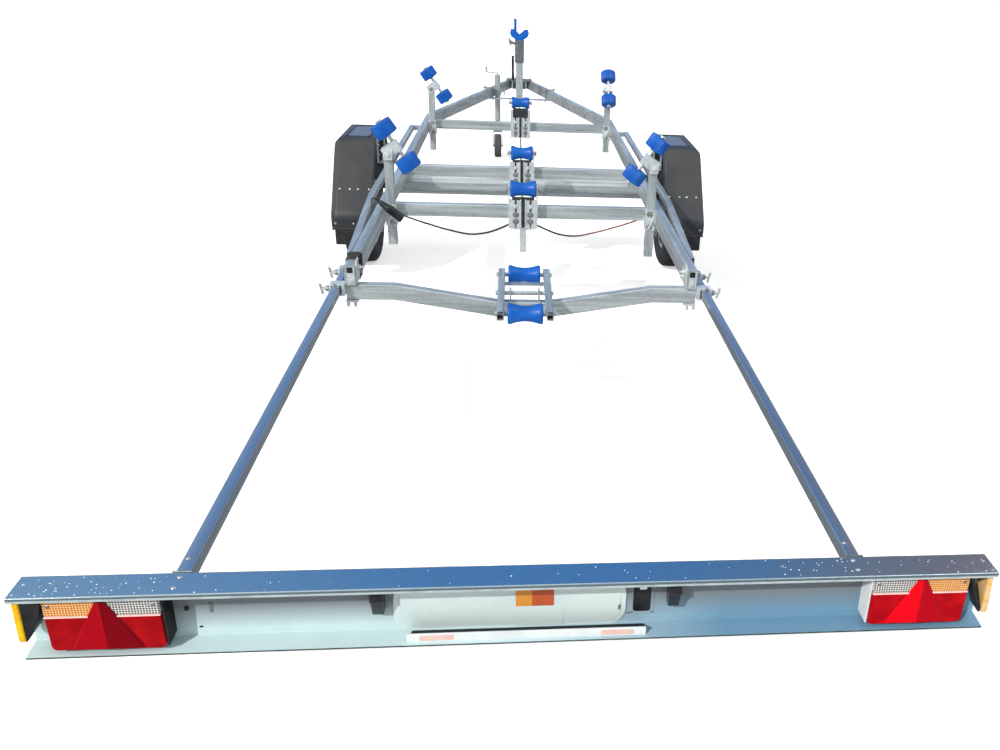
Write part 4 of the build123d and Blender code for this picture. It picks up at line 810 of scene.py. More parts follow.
    def passage(self) -> list[Shape]:
        """Pale frame round the lead's passage and the patch of light seen through it."""
        ring = Shape("passage_frame")
        for x0, x1, z0, z1 in PASSAGE_RING:
            ring.slab((x0, self.foot - 0.0016, z0), (x1, self.foot, z1), 0.001)
        patch = Shape("passage_patch")
        patch.slab((0.229, self.foot - 0.0014, 0.456), (0.245, self.foot, 0.479), 0.003)
        return [self.on_web(ring), self.on_web(patch)]


# X and station of the screws; the arms' plates; X, height, size and depth of the web's bright tabs
FLANGE_SCREWS = ((-0.700, 0.057), (-0.7014, 0.0233), (0.692, 0.0592), (0.6915, 0.0249))
ARM_SCREWS = ((-0.705, 0.1247), (0.695, 0.129))
END_SCREWS = ((0.991, 0.012), (0.985, 0.045))
ARM_PLATE = 0.038
WEB_TABS = (((-0.6569, 0.4407), 0.023, 0.003), ((0.1835, 0.417), 0.014, 0.006))
# ends in X, ends in height and corner of the web's slots; X and height of its bolt
WEB_SLOTS = ((0.216, 0.255, 0.4007, 0.480, 0.008), (-0.6826, -0.6746, 0.3925, 0.3965, 0.002))
WEB_BOLT = (-0.7015, 0.441)
PASSAGE_RING = ((0.203, 0.216, 0.396, 0.486), (0.255, 0.262, 0.396, 0.486),
                (0.203, 0.262, 0.396, 0.4007), (0.203, 0.262, 0.480, 0.486))
# ends in X of the flange's beaded parts, and how many beads each has
DROPS = ((-0.97, -0.72, 46), (0.52, 0.985, 40), (-0.7, 0.5, 24))


@dataclass
class TailLamp:
    """Rear lamp cluster with a triangular reflector.

    Args:
        side: 1 on the right, -1 on the left.
        middle: centre, as X and Z.
        size: width and height.
        body: depth of the housing.
        lens: depth of the lenses.
        band: height of the upper lenses.
        triangle: width of the reflector's base.
        apex: width of its flat top.
        proud: how far the reflector's ridge stands out.
        back: Y of the housing's front face.
    """
    side: float
    middle: tuple[float, float] = (0.840, 0.443)
    size: tuple[float, float] = (0.222, 0.126)
    body: float = 0.0366
    lens: float = 0.014
    band: float = 0.037
    triangle: float = 0.144
    apex: float = 0.015
    proud: float = 0.007
    back: float = at(0.0673)

    def x(self, outboard: float) -> float:
        """X of a distance outboard of the lamp's middle."""
        return self.side * (self.middle[0] + outboard)

    @property
    def face(self) -> float:
        """Y of the lenses' rear faces."""
        return self.back - self.body - self.lens

    def housing(self) -> Shape:
        """Black body behind the lenses."""
        (w, h), z = np.array(self.size) / 2, self.middle[1]
        low, high = (self.x(-w), self.back - self.body, z - h), (self.x(w), self.back, z + h)
        return Shape("lamp_housing").slab(low, high, 0.009, 0.002)

    def lenses(self) -> dict[str, Shape]:
        """The amber, clear and red lenses, with the pale step between the bands."""
        w, h, z = self.size[0] / 2 - 0.003, self.size[1] / 2 - 0.003, self.middle[1]
        split, front = z + h - self.band, self.back - self.body
        under, over = split - 0.0014, split + 0.0012
        fields = {"amber": (0.001, w, over, z + h, 0.004), "clear": (-w, -0.001, over, z + h, 0.004),
                  "red": (-w, w, z - h, under, 0.010)}
        made = {}
        for word, (u0, u1, z0, z1, corner) in fields.items():
            low, high = (self.x(u0), self.face, z0), (self.x(u1), front, z1)
            made[word] = Shape(f"lens_{word}").slab(low, high, corner, 0.0015)
        made["step"] = Shape("lens_step").slab((self.x(-w), self.face - 0.0022, under),
                                               (self.x(w), self.face + 0.004, over), 0.0008)
        return made

    def reflector(self) -> dict[str, Shape]:
        """Triangle with an upright ridge, as a left half and a right half that meet along it; the left half
        gets a lighter red and the right half a darker one, as painted light and shade of the two facets.
        """
        w, h, z = self.triangle / 2, self.size[1] / 2 - 0.006, self.middle[1]
        base, slope, ridge = self.face + 0.001, self.face - 0.0035, self.face - self.proud
        x, low, high, tip = self.x(0), z - h, z + h + 0.003, self.apex / 2
        faces = ((0, 1, 2, 3), (0, 4, 5, 1), (1, 5, 6, 2), (2, 6, 7, 3), (0, 3, 7, 4), (4, 7, 6, 5))
        made = {}
        for sign, word in zip(SIDES.values(), ("west", "east")):
            points = [(x, base, low), (x + sign * w, base, low), (x + sign * (tip + 0.002), base, high),
                      (x, base, high), (x, ridge, low + 0.004), (x + sign * (w - 0.008), slope, low + 0.003),
                      (x + sign * tip, slope, high - 0.002), (x, ridge + 0.001, high - 0.002)]
            made[word] = Shape(f"reflector_{word}").add(points, faces)
        return made

    def screws(self) -> Shape:
        """Screws in the upper corners."""
        made = Shape("lamp_screws")
        for u in (-0.097, 0.097):
            made.dome((self.x(u), self.face, self.middle[1] + 0.048), REAR, 0.0045, 0.0015)
        return made

    def window(self) -> Shape:
        """Clear ribbed window on the inboard side that lights the number plate."""
        made = Shape("lamp_window")
        x, z, h = self.x(-self.size[0] / 2), self.middle[1], self.size[1] / 2 - 0.006
        for y in self.face + 0.004 + np.arange(9) * 0.0055:
            made.box((x - self.side * 0.0022, y, z - h), (x + self.side * 0.001, y + 0.0024, z + h), 0.0006)
        return made


# outlines of the side markers' feet, as X and Z
WIDE_FOOT = ((0.985, 0.5215), (0.945, 0.5215), (0.952, 0.479), (0.970, 0.434), (0.986, 0.412),
             (0.989, 0.4128))
SLIM_FOOT = ((0.944, 0.512), (0.950, 0.512), (0.9845, 0.424), (0.9845, 0.412), (0.9800, 0.414))


@dataclass
class SideMarker:
    """Amber lamp below the upper flange's end, on a black foot.

    Args:
        side: 1 on the right, -1 on the left.
        foot: outline of the foot as X and Z.
        outer: X of the lens's face at the top.
        lens: thickness of the lens.
        length: size along the trailer.
        low: lower edge.
        top: upper edge.
        splay: how far the lower edge stands out.
    """
    side: float
    foot: tuple
    outer: float = 0.996
    lens: float = 0.0125
    length: float = 0.044
    low: float = 0.411
    top: float = 0.5215
    splay: float = 0.004

    def lamp(self) -> Shape:
        """The amber lens: a rounded outline in Y and Z drawn along X."""
        y, mid = at(0.008) + self.length / 2, (self.top + self.low) / 2
        outline = rounded(self.length, self.top - self.low, 0.008)
        x0, x1 = sorted((self.side * (self.outer - self.lens), self.side * self.outer))
        axes = [(0, 0, 1), (1, 0, 0), (0, 1, 0)]
        made = Shape("marker_lens").bar((x0, y, mid), (x1, y, mid), outline, 0.002, axes)
        return made.sheared(0, self.top, -self.side * self.splay / (self.top - self.low))

    def base(self) -> Shape:
        """The black foot: its outline drawn along Y."""
        return Shape("marker_base").drawn(np.array(self.foot) * (self.side, 1), 1, at(0.012), at(0.048))


@dataclass
class PlateHolder:
    """Number plate panel on the web, with a sloping ledge at its foot and a blank label.

    Args:
        board: the board that it sits on.
        across: X of the panel's ends.
        up: its lower and upper edges.
        shelf: X of the ledge's ends.
        strip_at: X of the strip's ends.
        strip_up: the strip's lower and upper edges.
        rise: stations and heights of the ledge's two edges.
        skin: thickness.
    """
    board: Board
    across: tuple[float, float] = (-0.291, 0.201)
    up: tuple[float, float] = (0.3695, 0.488)
    shelf: tuple[float, float] = (-0.2535, 0.2405)
    strip_at: tuple[float, float] = (-0.2615, 0.2414)
    strip_up: tuple[float, float] = (0.3700, 0.3914)
    rise: tuple = ((0.062, 0.3705), (0.024, 0.391))
    skin: float = 0.003

    def panel(self) -> Shape:
        """Pale panel with round corners and a raised border."""
        (x0, x1), (z0, z1), y = self.across, self.up, self.board.foot
        made = Shape("plate_panel").slab((x0, y - self.skin, z0), (x1, y, z1), 0.040, 0.0012)
        made.slab((x0 + 0.012, y - self.skin - 0.0012, z0 + 0.010), (x1 - 0.012, y - 0.002, z1 - 0.008),
                  0.030, 0.001)
        return self.board.on_web(made)

    def ledge(self) -> Shape:
        """Dark plate that slopes up from the web's foot to the strip."""
        (s0, z0), (s1, z1) = self.rise
        outline = [(at(s0), z0), (at(s1), z1), (at(s1), z1 - self.skin), (at(s0), z0 - self.skin)]
        return Shape("plate_ledge").drawn(outline, 0, *self.shelf)

    def strip(self) -> Shape:
        """Pale upright strip along the ledge's rear edge."""
        (x0, x1), (z0, z1), y = self.strip_at, self.strip_up, at(self.rise[1][0])
        return Shape("plate_strip").slab((x0, y - 0.0015, z0), (x1, y + 0.0015, z1), 0.002, 0.0004)

    def end_patches(self) -> Shape:
        """Salmon patches near the strip's ends."""
        y, made = at(self.rise[1][0]) - 0.0021, Shape("strip_patches")
        for x0, x1 in ((-0.235, -0.165), (0.145, 0.215)):
            made.slab((x0, y, 0.374), (x1, y + 0.001, 0.387), 0.003)
        return made

    def label(self) -> dict[str, Shape]:
        """Blank label: two coloured fields over a white one."""
        y = self.board.foot - self.skin - 0.0020
        fields = {"orange": (-0.036, -0.0015, 0.425, 0.486), "rust": (-0.0015, 0.045, 0.425, 0.486),
                  "white": (-0.036, 0.066, 0.374, 0.425)}
        return {word: self.board.on_web(Shape(f"label_{word}").slab((x0, y, z0), (x1, y + 0.001, z1), 0.001))
                for word, (x0, x1, z0, z1) in fields.items()}


@dataclass
class PlateLamp:
    """Small black lamp that lights the plate from the side.

    Args:
        x: its centre.
        wide: its width.
        top: its upper face.
        waist: height of the step.
        foot: its lower end.
        back: Y of its front face.
    """
    x: float
    wide: float = 0.027
    top: float = 0.522
    waist: float = 0.470
    foot: float = 0.425
    back: float = at(0.068)

    def body(self) -> Shape:
        """Upright block with a lower part that narrows downwards: height, depth and share of the width."""
        sizes = ((self.foot, 0.020, 0.80), (self.foot + 0.004, 0.024, 0.90),
                 (self.waist - 0.001, 0.036, 0.94), (self.waist + 0.001, 0.040, 1.0), (self.top, 0.040, 1.0))
        rings = []
        for z, deep, share in sizes:
            outline = rounded(self.wide * share, deep, 0.003, 3) + (self.x, self.back - deep / 2)
            rings.append(np.insert(outline, 2, z, axis=1))
        return Shape("plate_lamp").loft(rings)

    def line(self) -> Shape:
        """Thin pale line at the step."""
        y, half = self.back - 0.0405, self.wide * 0.46
        return Shape("plate_lamp_line").slab((self.x - half, y - 0.0006, self.waist - 0.0012),
                                             (self.x + half, y + 0.002, self.waist + 0.0012), 0.0005)


# ------------------------------------------------------------------ mudguards and wheels
# middle of the right wheel
WHEEL = (0.900, at(3.848), 0.290)


@dataclass
class Mudguard:
    """Moulded guard on the right: a section carried along a folded line round the wheel.

    Args:
        inner: X of the inner wall.
        width: overall width.
        lip: depth of the side walls.
        chamfer: width of the slanting outer edge.
        skin: thickness.
        crown: height of the level top above the wheel's centre.
        line: the folds, as Y and Z from the wheel's centre.
        field: Y of the ends of the top's frame, from the wheel's centre.
    """
    inner: float = 0.788
    width: float = 0.215
    lip: float = 0.048
    chamfer: float = 0.030
    skin: float = 0.004
    crown: float = 0.447
    line: tuple = ((-0.474, 0.018), (-0.480, 0.096), (-0.196, 0.447), (0.250, 0.447), (0.452, 0.170),
                   (0.486, 0.020))
    field: tuple[float, float] = (-0.150, 0.202)

    @property
    def outer(self) -> float:
        """X of the outer wall."""
        return self.inner + self.width

    @staticmethod
    def spot(y: float, z: float) -> tuple[float, float]:
        """Y and Z of a place given from the wheel's centre."""
        return y + WHEEL[1], z + WHEEL[2]

    def path(self) -> tuple[np.ndarray, np.ndarray]:
        """Side line with rounded folds, and its outward normals."""
        line = filleted(self.line, (0.030, 0.024, 0.024, 0.030), 8)
        return line + WHEEL[1:], steps_along(line)[:, ::-1] * (-1, 1)

    def section(self) -> np.ndarray:
        """Closed section as X and height above the side line: outer skin, then the inner one back."""
        x0, x1, t = self.inner, self.outer, self.skin
        low, cut = -self.lip, self.chamfer
        outer = [(x0, low), (x0, 0.0), (x1 - cut, 0.0), (x1 - 0.003, 0.002 - cut), (x1 - 0.003, low + 0.004),
                 (x1, low)]
        inner = [(x1 - 0.003, low), (x1 - 0.007, -cut), (x1 - cut - 0.002, -t), (x0 + t, -t), (x0 + t, low)]
        return np.concatenate([filleted(outer, (0.008, 0.006, 0.008, 0.002), 5),
                               filleted(inner, (0.004, 0.006, 0.006), 5)])

    def shell(self) -> Shape:
        """Each ring is the section set up on the side line's normal."""
        (path, normal), ring = self.path(), self.section()
        rings = np.empty((len(path), len(ring), 3))
        rings[:, :, 0] = ring[None, :, 0]
        rings[:, :, 1:] = path[:, None] + ring[None, :, 1:] * normal[:, None]
        return Shape("guard_shell").loft(rings[:, ::-1])

    def panel(self) -> Shape:
        """Raised frame round the recess in the level top."""
        x0, x1 = self.inner + 0.030, self.outer - self.chamfer - 0.026
        (y0, z), (y1, _) = (self.spot(y, self.crown) for y in self.field)
        made, bar = Shape("guard_panels"), 0.012
        for a, b in (((x0, y0), (x1, y0 + bar)), ((x0, y1 - bar), (x1, y1)), ((x0, y0), (x0 + 0.010, y1)),
                     ((x1 - 0.010, y0), (x1, y1))):
            made.box((*a, z - 0.001), (*b, z + 0.0035), 0.0012)
        return made

    def recess(self) -> Shape:
        """Smooth sunk field inside the frame on the level top."""
        (y0, z), (y1, _) = (self.spot(y, self.crown) for y in self.field)
        return Shape("guard_recess").box((self.inner + 0.040, y0 + 0.012, z - 0.0005),
                                         (self.outer - self.chamfer - 0.036, y1 - 0.012, z + 0.0006))

    def end_beads(self) -> Shape:
        """Rounded beads across the two open ends."""
        made = Shape("guard_beads")
        for y, z in (self.spot(*self.line[0]), self.spot(*self.line[-1])):
            low, high = (self.inner + 0.004, y - 0.003, z - 0.001), (self.outer - 0.008, y + 0.006, z + 0.010)
            made.slab(low, high, 0.003, 0.001)
        return made

    def outer_bead(self) -> Shape:
        """Rounded bead along the outer edge."""
        path, normal = self.path()
        line = np.insert(path - normal * (self.lip - 0.002), 0, self.outer - 0.001, axis=1)
        return Shape("guard_edge").tube(line, 0.0022, 8)

    def flap(self) -> Shape:
        """Ribbed flap below the rear edge."""
        y = self.line[0][0] + WHEEL[1]
        x0, x1 = self.inner + 0.022, self.outer - 0.022
        made = Shape("guard_flap").slab((x0, y, 0.228), (x1, y + 0.005, 0.316), 0.008, 0.001)
        for z in 0.233 + np.arange(8) * 0.0090:
            made.slab((x0 + 0.004, y - 0.0016, z), (x1 - 0.004, y + 0.001, z + 0.0035), 0.001)
        return made

    def rivets(self) -> Shape:
        """A row of rivets across the rear panel and one in each lower corner."""
        made, (low, a, b) = Shape("guard_rivets"), np.array(self.line[:3])
        out = np.array([-(b - a)[1], (b - a)[0]]) / np.linalg.norm(b - a)
        seat = a + (b - a) * 0.34 + WHEEL[1:]
        for x in (0.806, 0.863, 0.904, 0.957):
            made.dome((x, *seat), (0, *out), 0.0062, 0.003)
        for x in (0.884, 0.975):
            made.dome((x, *self.spot(low[0] - 0.0010, low[1] + 0.034)), REAR, 0.0062, 0.003)
        return made


@dataclass
class Tyre:
    """Road tyre on the right: a section turned about the axle, with grooves cut into the band.

    Args:
        radius: outer radius.
        half: half of the overall width.
        seat: bead seat radius.
        band: half width of the grooved band.
        depth: depth of the grooves.
        lugs: pattern repeats round the tyre.
        steps: points round the tyre.
    """
    radius: float = 0.290
    half: float = 0.0825
    seat: float = 0.1653
    band: float = 0.060
    depth: float = 0.006
    lugs: int = 60
    steps: int = 480

    def section(self) -> np.ndarray:
        """Distance outboard and radius, from one bead over the band to the other and back inside."""
        r, h = self.radius, self.half
        wall = arc3((0.0592, self.seat + 0.018), (h, 0.2276), (h - 0.014, r - 0.016), 14)
        shoulder = arc3((h - 0.014, r - 0.016), (h - 0.021, r - 0.009), (h - 0.032, r - 0.005), 5)[1:]
        crown = arc3((h - 0.032, r - 0.005), (0, r), (-h + 0.032, r - 0.005), 48)[1:-1]
        outer = np.concatenate([[(0.0592, self.seat)], wall, shoulder, crown])
        liner = np.array([(-0.048, self.seat), (-0.048, 0.185), (-0.070, 0.227), (-0.052, 0.266), (0, 0.274)])
        back = liner[-2::-1] * (-1, 1)
        return np.concatenate([outer, (outer[:20] * (-1, 1))[::-1], liner, back])

    def cut(self, x: np.ndarray, angle: np.ndarray) -> np.ndarray:
        """Depth of the pattern: three wavy grooves round the band and sipes across its edges.

        Args:
            x: distance outboard, as a row.
            angle: angle round the wheel, as a column.

        Returns:
            How far each point lies below the band.
        """
        wave = 0.0022 * np.sign(np.sin(self.lugs * angle))
        grooves = np.max([np.abs(x - place - wave) < 0.0030 for place in (-0.025, 0.0, 0.025)], axis=0)
        phase = (self.lugs * angle / (2 * pi) + x * 18) % 1.0
        within = np.abs(x) < self.band + 0.008
        sipes = (phase < 0.22) & (np.abs(x) > 0.036) & within
        return self.depth * np.maximum(grooves, sipes * 0.85) * within

    def mesh(self) -> Shape:
        """Rings across the section at equal steps of angle, each point moved in by the pattern's depth."""
        out, radius = self.section().T[:, None]
        angle = np.linspace(0, 2 * pi, self.steps + 1)[:, None] + pi / 2
        radius = radius - self.cut(out, angle) * (radius > 0.2745)
        x, y, z = WHEEL
        rings = np.stack([np.broadcast_to(x + out, radius.shape), y + radius * np.cos(angle),
                          z + radius * np.sin(angle)], axis=-1)
        return Shape("tyre_mesh").loft(rings, caps=False)

    @staticmethod
    def wall_ribs() -> Shape:
        """Thin rings moulded on the outer wall."""
        made = Shape("tyre_ribs")
        for r, out in ((0.196, 0.0705), (0.228, 0.0826), (0.258, 0.0775)):
            made.lathe(WHEEL, OUT, [(out - 0.001, r - 0.0022), (out + 0.0009, r - 0.0008),
                                    (out + 0.0009, r + 0.0008), (out - 0.001, r + 0.0022)], 96)
        return made


def wheel_bolts(count: int = 5, ring: float = 0.046) -> Shape:
    """Bolt heads at equal angles round the right hub, a valve in the rim and a ring on the cap.

    Args:
        count: number of bolts.
        ring: radius of their circle.

    Returns:
        The bolts, valve and ring.
    """
    made, (x, y, z) = Shape("wheel_bolts"), WHEEL
    for a in 2 * pi * np.arange(count) / count + 0.3:
        made.bolt((x + 0.012, y + ring * cos(a), z + ring * sin(a)), OUT, 0.017, 1.25)
    made.rod((x + 0.006, y, z + 0.146), (x + 0.034, y, z + 0.137), 0.0042, 12, 0.001)
    cap = [(0, 0.0225), (0.003, 0.0215), (0.0045, 0.019), (0.0045, 0.0004)]
    return made.lathe((x + 0.050, y, z), OUT, cap, 32)


# ------------------------------------------------------------------ rollers
@dataclass
class FlutedRoller:
    """Hull roller with flutes along it.

    Args:
        radius: outer radius.
        length: length along its bar.
        bore: bore radius.
        flutes: number of flutes.
        depth: depth of a flute.
        bevel: size of the rounded ends.
    """
    radius: float = 0.051
    length: float = 0.067
    bore: float = 0.0093
    flutes: int = 34
    depth: float = 0.0030
    bevel: float = 0.007

    def rings(self, centre, axis) -> np.ndarray:
        """Rings along the axis; each radius falls by the flute's share of a raised cosine.

        Args:
            centre: middle of the roller.
            axis: its direction.

        Returns:
            The rings' points.
        """
        m = basis(axis)
        angle = np.arange(self.flutes * 8) * 2 * pi / (self.flutes * 8)
        wave = (0.5 - 0.5 * np.cos(self.flutes * angle)) ** 1.6
        half, b, r = self.length / 2, self.bevel, self.radius
        end = [(half - 0.004, self.bore, 0), (half - 0.004, 0.018, 0), (half, 0.020, 0),
               (half, r - b - 0.004, 0), (half - b * 0.25, r - b * 0.45, 0.4), (half - b, r, 1)]
        rows = [(-along, *rest) for along, *rest in end] + end[::-1]
        return np.array([np.asarray(centre) + circle(angle, radius - self.depth * share * wave) @ m[:, :2].T
                         + along * m[:, 2] for along, radius, share in rows])


def keel_roller(name: str, centre, length: float) -> Shape:
    """Hourglass roller: a hollow between two rims, and a recess round the bore at each end.

    Args:
        name: name of the piece.
        centre: middle of the roller.
        length: length across the trailer.

    Returns:
        The roller.
    """
    h, r, waist = length / 2, 0.039, 0.029
    hollow = arc3((-h + 0.012, r), (0, waist), (h - 0.012, r), 24)
    end = [(-h + 0.005, 0.0085), (-h + 0.005, 0.017), (-h, 0.019), (-h, r - 0.006), (-h + 0.0015, r - 0.0018),
           (-h + 0.0045, r)]
    profile = np.concatenate([end, hollow, [(-a, b) for a, b in reversed(end)]])
    return Shape(name).lathe(centre, OUT, profile, 64)


@dataclass
class HullHead:
    """Position of a rocking head.

    Args:
        name: which head.
        pivot: X, Y and Z of its pivot.
        turn: degrees it is turned about the upright.
        tilt: degrees its bar is tilted.
        offset: bar from the pivot.
        apart: roller centres from the bar's middle.
    """
    name: str
    pivot: tuple[float, float, float]
    turn: float
    tilt: float = 55.5
    offset: float = 0.043
    apart: float = 0.0895

    def axes(self) -> np.ndarray:
        """Columns: along the bar, along the pivot, and out from the pivot to the bar."""
        a, b = radians(self.turn), radians(self.tilt)
        along = np.array([cos(b) * cos(a), cos(b) * sin(a), sin(b)])
        pivot = np.array([-sin(a), cos(a), 0.0])
        return np.stack([along, pivot, np.cross(along, pivot)], axis=1)

    def spot(self, along: float) -> np.ndarray:
        """Point on the bar, so far from its middle."""
        return np.array(self.pivot) + self.axes() @ np.array([along, 0, self.offset])

    def rollers(self) -> Shape:
        """The two fluted rollers."""
        made = Shape(f"rollers_{self.name}_mesh")
        for s in SIDES.values():
            made.loft(FlutedRoller().rings(self.spot(s * self.apart), self.axes()[:, 0]), caps=False)
        return made

    def hardware(self) -> Shape:
        """Washers beside the rollers."""
        made, bar = Shape(f"head_hardware_{self.name}"), self.axes()[:, 0] * 0.001
        for s in SIDES.values():
            for reach in (self.apart - 0.036, self.apart + 0.0345):
                p = self.spot(s * reach)
                made.rod(p - bar, p + bar, 0.015, 24, 0.0003)
        return made


HEADS = (HullHead("rear_left", (-0.6067, at(2.7947), 0.841), 180.0),
         HullHead("rear_right", (0.6067, at(2.7947), 0.812), 0.0),
         HullHead("front_left", (-0.6067, at(5.1667), 0.810), 180.0),
         HullHead("front_right", (0.6067, at(5.1667), 0.832), 90.0))
KEELS = (("keel_roller_front", "keel_front_roller", (0, at(5.167), 0.735), 0.120),
         ("keel_roller_middle", "keel_middle_roller", (0, at(3.657), 0.682), 0.120),
         ("keel_roller_rear", "keel_rear_roller", (0, at(2.795), 0.684), 0.120),
         ("cradle_roller_rear", "cradle_rear_roller", (0, at(1.671), 0.485), 0.130),
         ("cradle_roller_front", "cradle_front_roller", (0, at(2.125), 0.485), 0.130))


# ------------------------------------------------------------------ frame hardware
@dataclass
class Fasteners:
    """Bolts, nuts and small plates on the frame.

    Args:
        rail_x: centre of a rail.
        rail_z: middle height of the rails.
        post_x: centre of a support post.
        post_y: Y of the post clamps' middles.
        wheel: Y of the wheels' centres.
        axle: Y of the axle tube.
        tie: Y of the drawbar tie and the winch post.
        arm: X and height of the light board's arms in their sleeves.
    """
    rail_x: float = 0.652
    rail_z: float = 0.597 - 0.040
    post_x: float = 0.6067
    post_y: tuple[float, float] = (at(2.840) - 0.0453, at(5.212) - 0.0453)
    wheel: float = at(3.848)
    axle: float = at(3.948)
    tie: float = at(6.953)
    arm: tuple[float, float] = (0.7015, 0.5045)

    def brackets(self) -> Shape:
        """Nuts on the keel spindles and bolts through the brackets' webs."""
        made = Shape("bracket_bolts")
        for _, _, (_, y, z), _ in KEELS[:3]:
            made.bolts([(0.068, y, z, OUT, 0.019, 1.25)]
                       + [(0.034, y - 0.025, height, REAR) for height in (0.567, 0.535)])
        return made

    def posts(self) -> Shape:
        """Bolts of the post clamps, beside each clamp's tommy bar and on its outer face."""
        made = Shape("clamp_bolts")
        for y in self.post_y:
            made.bolts([(self.post_x - 0.006, y - 0.0253, z, REAR) for z in (0.520, 0.584)]
                       + [(self.post_x - 0.0253, y, 0.585, IN)])
        return made

    def saddles(self) -> Shape:
        """Bolts of the axle's saddles and of the mudguard brackets."""
        rows = [(x, self.axle + dy, 0.509, DOWN, 0.015) for dy in (-0.047, 0.047) for x in (0.636, 0.668)]
        for y in (self.wheel - 0.130, self.wheel + 0.150):
            rows += [(x, y, 0.602, UP) for x in (0.725, 0.764)]
            rows += [(0.7824, y, z, IN, 0.012) for z in (0.640, 0.690)]
        return Shape("saddle_bolts").bolts(rows)

    def drawbar(self) -> Shape:
        """Strap bolts round the legs at the tie, bolts of the winch post's foot and of the coupling."""
        made, y = Shape("drawbar_bolts"), self.tie
        for s in SIDES.values():
            for x in (s * 0.228, s * 0.298):
                made.rod((x, y, 0.500), (x, y, 0.612), 0.005, 12)
                made.bolt((x, y, 0.5085), DOWN, 0.015).bolt((x, y, 0.603), UP, 0.015)
            made.box((s * 0.214, y - 0.02, 0.5975), (s * 0.312, y + 0.02, 0.6035), 0.001)
            made.bolt((s * 0.052, y, 0.523), UP, 0.015)
            for station in (7.510, 7.600):
                made.bolt((s * 0.098, at(station), 0.605), UP, 0.017)
        return made

    def sleeves(self) -> Shape:
        """Lock nuts on the sleeves' shanks and bolts that hold their packing to the rail."""
        (x, z), rows = self.arm, []
        for y in (at(1.848), at(2.043)):
            rows += [(x + 0.032, y + 0.0225, z, OUT, 0.019, 1.3)]
            rows += [(x + 0.0045, y, z + dz, REAR, 0.009, 0) for dz in (-0.0248, 0.0248)]
        return Shape("sleeve_bolts").bolts(rows)

    def rail_ends(self) -> Shape:
        """Bright plates over the rails' open ends, each with a raised rim and a bracket with its bolts."""
        made, y, z, half, tall = Shape("rail_end_plates"), at(1.8755), self.rail_z, 0.0195, 0.0395
        rims = ((-half, -0.0150, -tall, tall), (0.0150, half, -tall, tall), (-half, half, 0.035, tall))
        for s in SIDES.values():
            x = s * self.rail_x
            made.slab((x - half, y - 0.003, z - tall), (x + half, y, z + tall), 0.004, 0.0008)
            for x0, x1, z0, z1 in rims:
                made.slab((x + x0, y - 0.007, z + z0), (x + x1, y - 0.002, z + z1), 0.001, 0.0006)
            made.bolt((x - s * 0.002, y - 0.003, z - 0.020), REAR, 0.013)
            x -= s * 0.0215
            made.drawn([(at(station), height) for station, height in RAIL_BRACKET], 0, x - 0.0020, x + 0.0020)
            for station, height, across in ((1.925, 0.572, 0.016), (1.968, 0.540, 0.013)):
                made.bolt((x - s * 0.002, at(station), height), (-s, 0, 0), across, 1.3)
            made.rod((x - s * 0.008, at(1.925), 0.572), (x - s * 0.024, at(1.925), 0.572), 0.0045, 12, 0.001)
        return made

    def liners(self) -> Shape:
        """Dark gap between each end plate's rim, and the liners at the sleeves' mouths."""
        made, z = Shape("sleeve_liners"), self.rail_z
        for s in SIDES.values():
            x = s * self.rail_x
            made.slab((x - 0.0110, at(1.8713), z + 0.008), (x + 0.0110, at(1.8728), z + 0.030), 0.004)
            for y in (at(1.846), at(2.090)):
                for x in (s * self.arm[0] - 0.0172, s * self.arm[0] + 0.0154):
                    made.slab((x, y, 0.4868), (x + 0.0018, y + 0.002, 0.5218))
        return made

    def keel_bars(self) -> Shape:
        """Raised bars and bolts on the keel brackets' rear faces."""
        made = Shape("keel_bars")
        for _, _, (_, y, _), _ in KEELS[:3]:
            y -= 0.0252
            for s in SIDES.values():
                made.slab((s * 0.0085, y - 0.004, 0.502), (s * 0.0150, y, 0.640), 0.002, 0.0008)
                made.bolt((s * 0.0345, y - 0.001, 0.606), REAR, 0.012, 1.5)
        return made

    def keel_slots(self) -> Shape:
        """Dark slots in the keel brackets' rear faces, and a patch of painted shade under each roller."""
        made = Shape("keel_slots")
        for _, _, (_, y, z), _ in KEELS[:3]:
            y -= 0.0252
            for x in (s * 0.0345 for s in SIDES.values()):
                made.slab((x - 0.0045, y - 0.0010, 0.582), (x + 0.0045, y, 0.636), 0.004)
                made.slab((x - 0.0030, y - 0.0010, 0.505), (x + 0.0030, y, 0.524), 0.003)
            made.slab((-0.0080, y - 0.0010, 0.505), (0.0080, y, 0.638), 0.003)
            made.slab((-0.052, y, 0.636), (0.052, y + 0.002, z - 0.0325), 0.006)
        return made

    def winch_handle(self) -> Shape:
        """Clamping screw with a crossbar beside the winch frame, and the bolts through it."""
        made, y = Shape("winch_handle"), self.tie
        made.rod((-0.040, y, 0.975), (-0.080, y, 0.990), 0.007, 12, 0.001)
        made.rod((-0.082, y, 0.966), (-0.088, y, 1.014), 0.0065, 12, 0.002)
        for z in (0.850, 0.905, 0.955):
            made.bolt((-0.018, y - 0.030, z), REAR, 0.015, 1.5)
        return made

    @staticmethod
    def head_plates() -> Shape:
        """Square clamp plates with a bolt at the tops of the rear posts."""
        made = Shape("head_plates")
        for x, y, z in (head.pivot for head in HEADS[:2]):
            made.slab((x - 0.021, y - 0.036, z - 0.034), (x + 0.021, y - 0.0325, z + 0.012), 0.003, 0.0008)
            made.bolt((x, y - 0.036, z - 0.010), REAR, 0.016, 1.6)
        return made


# stations and heights of the bracket beside a rail's end
RAIL_BRACKET = ((1.8775, 0.520), (1.8775, 0.592), (1.900, 0.6085), (1.935, 0.6085), (1.990, 0.560),
                (1.990, 0.524))


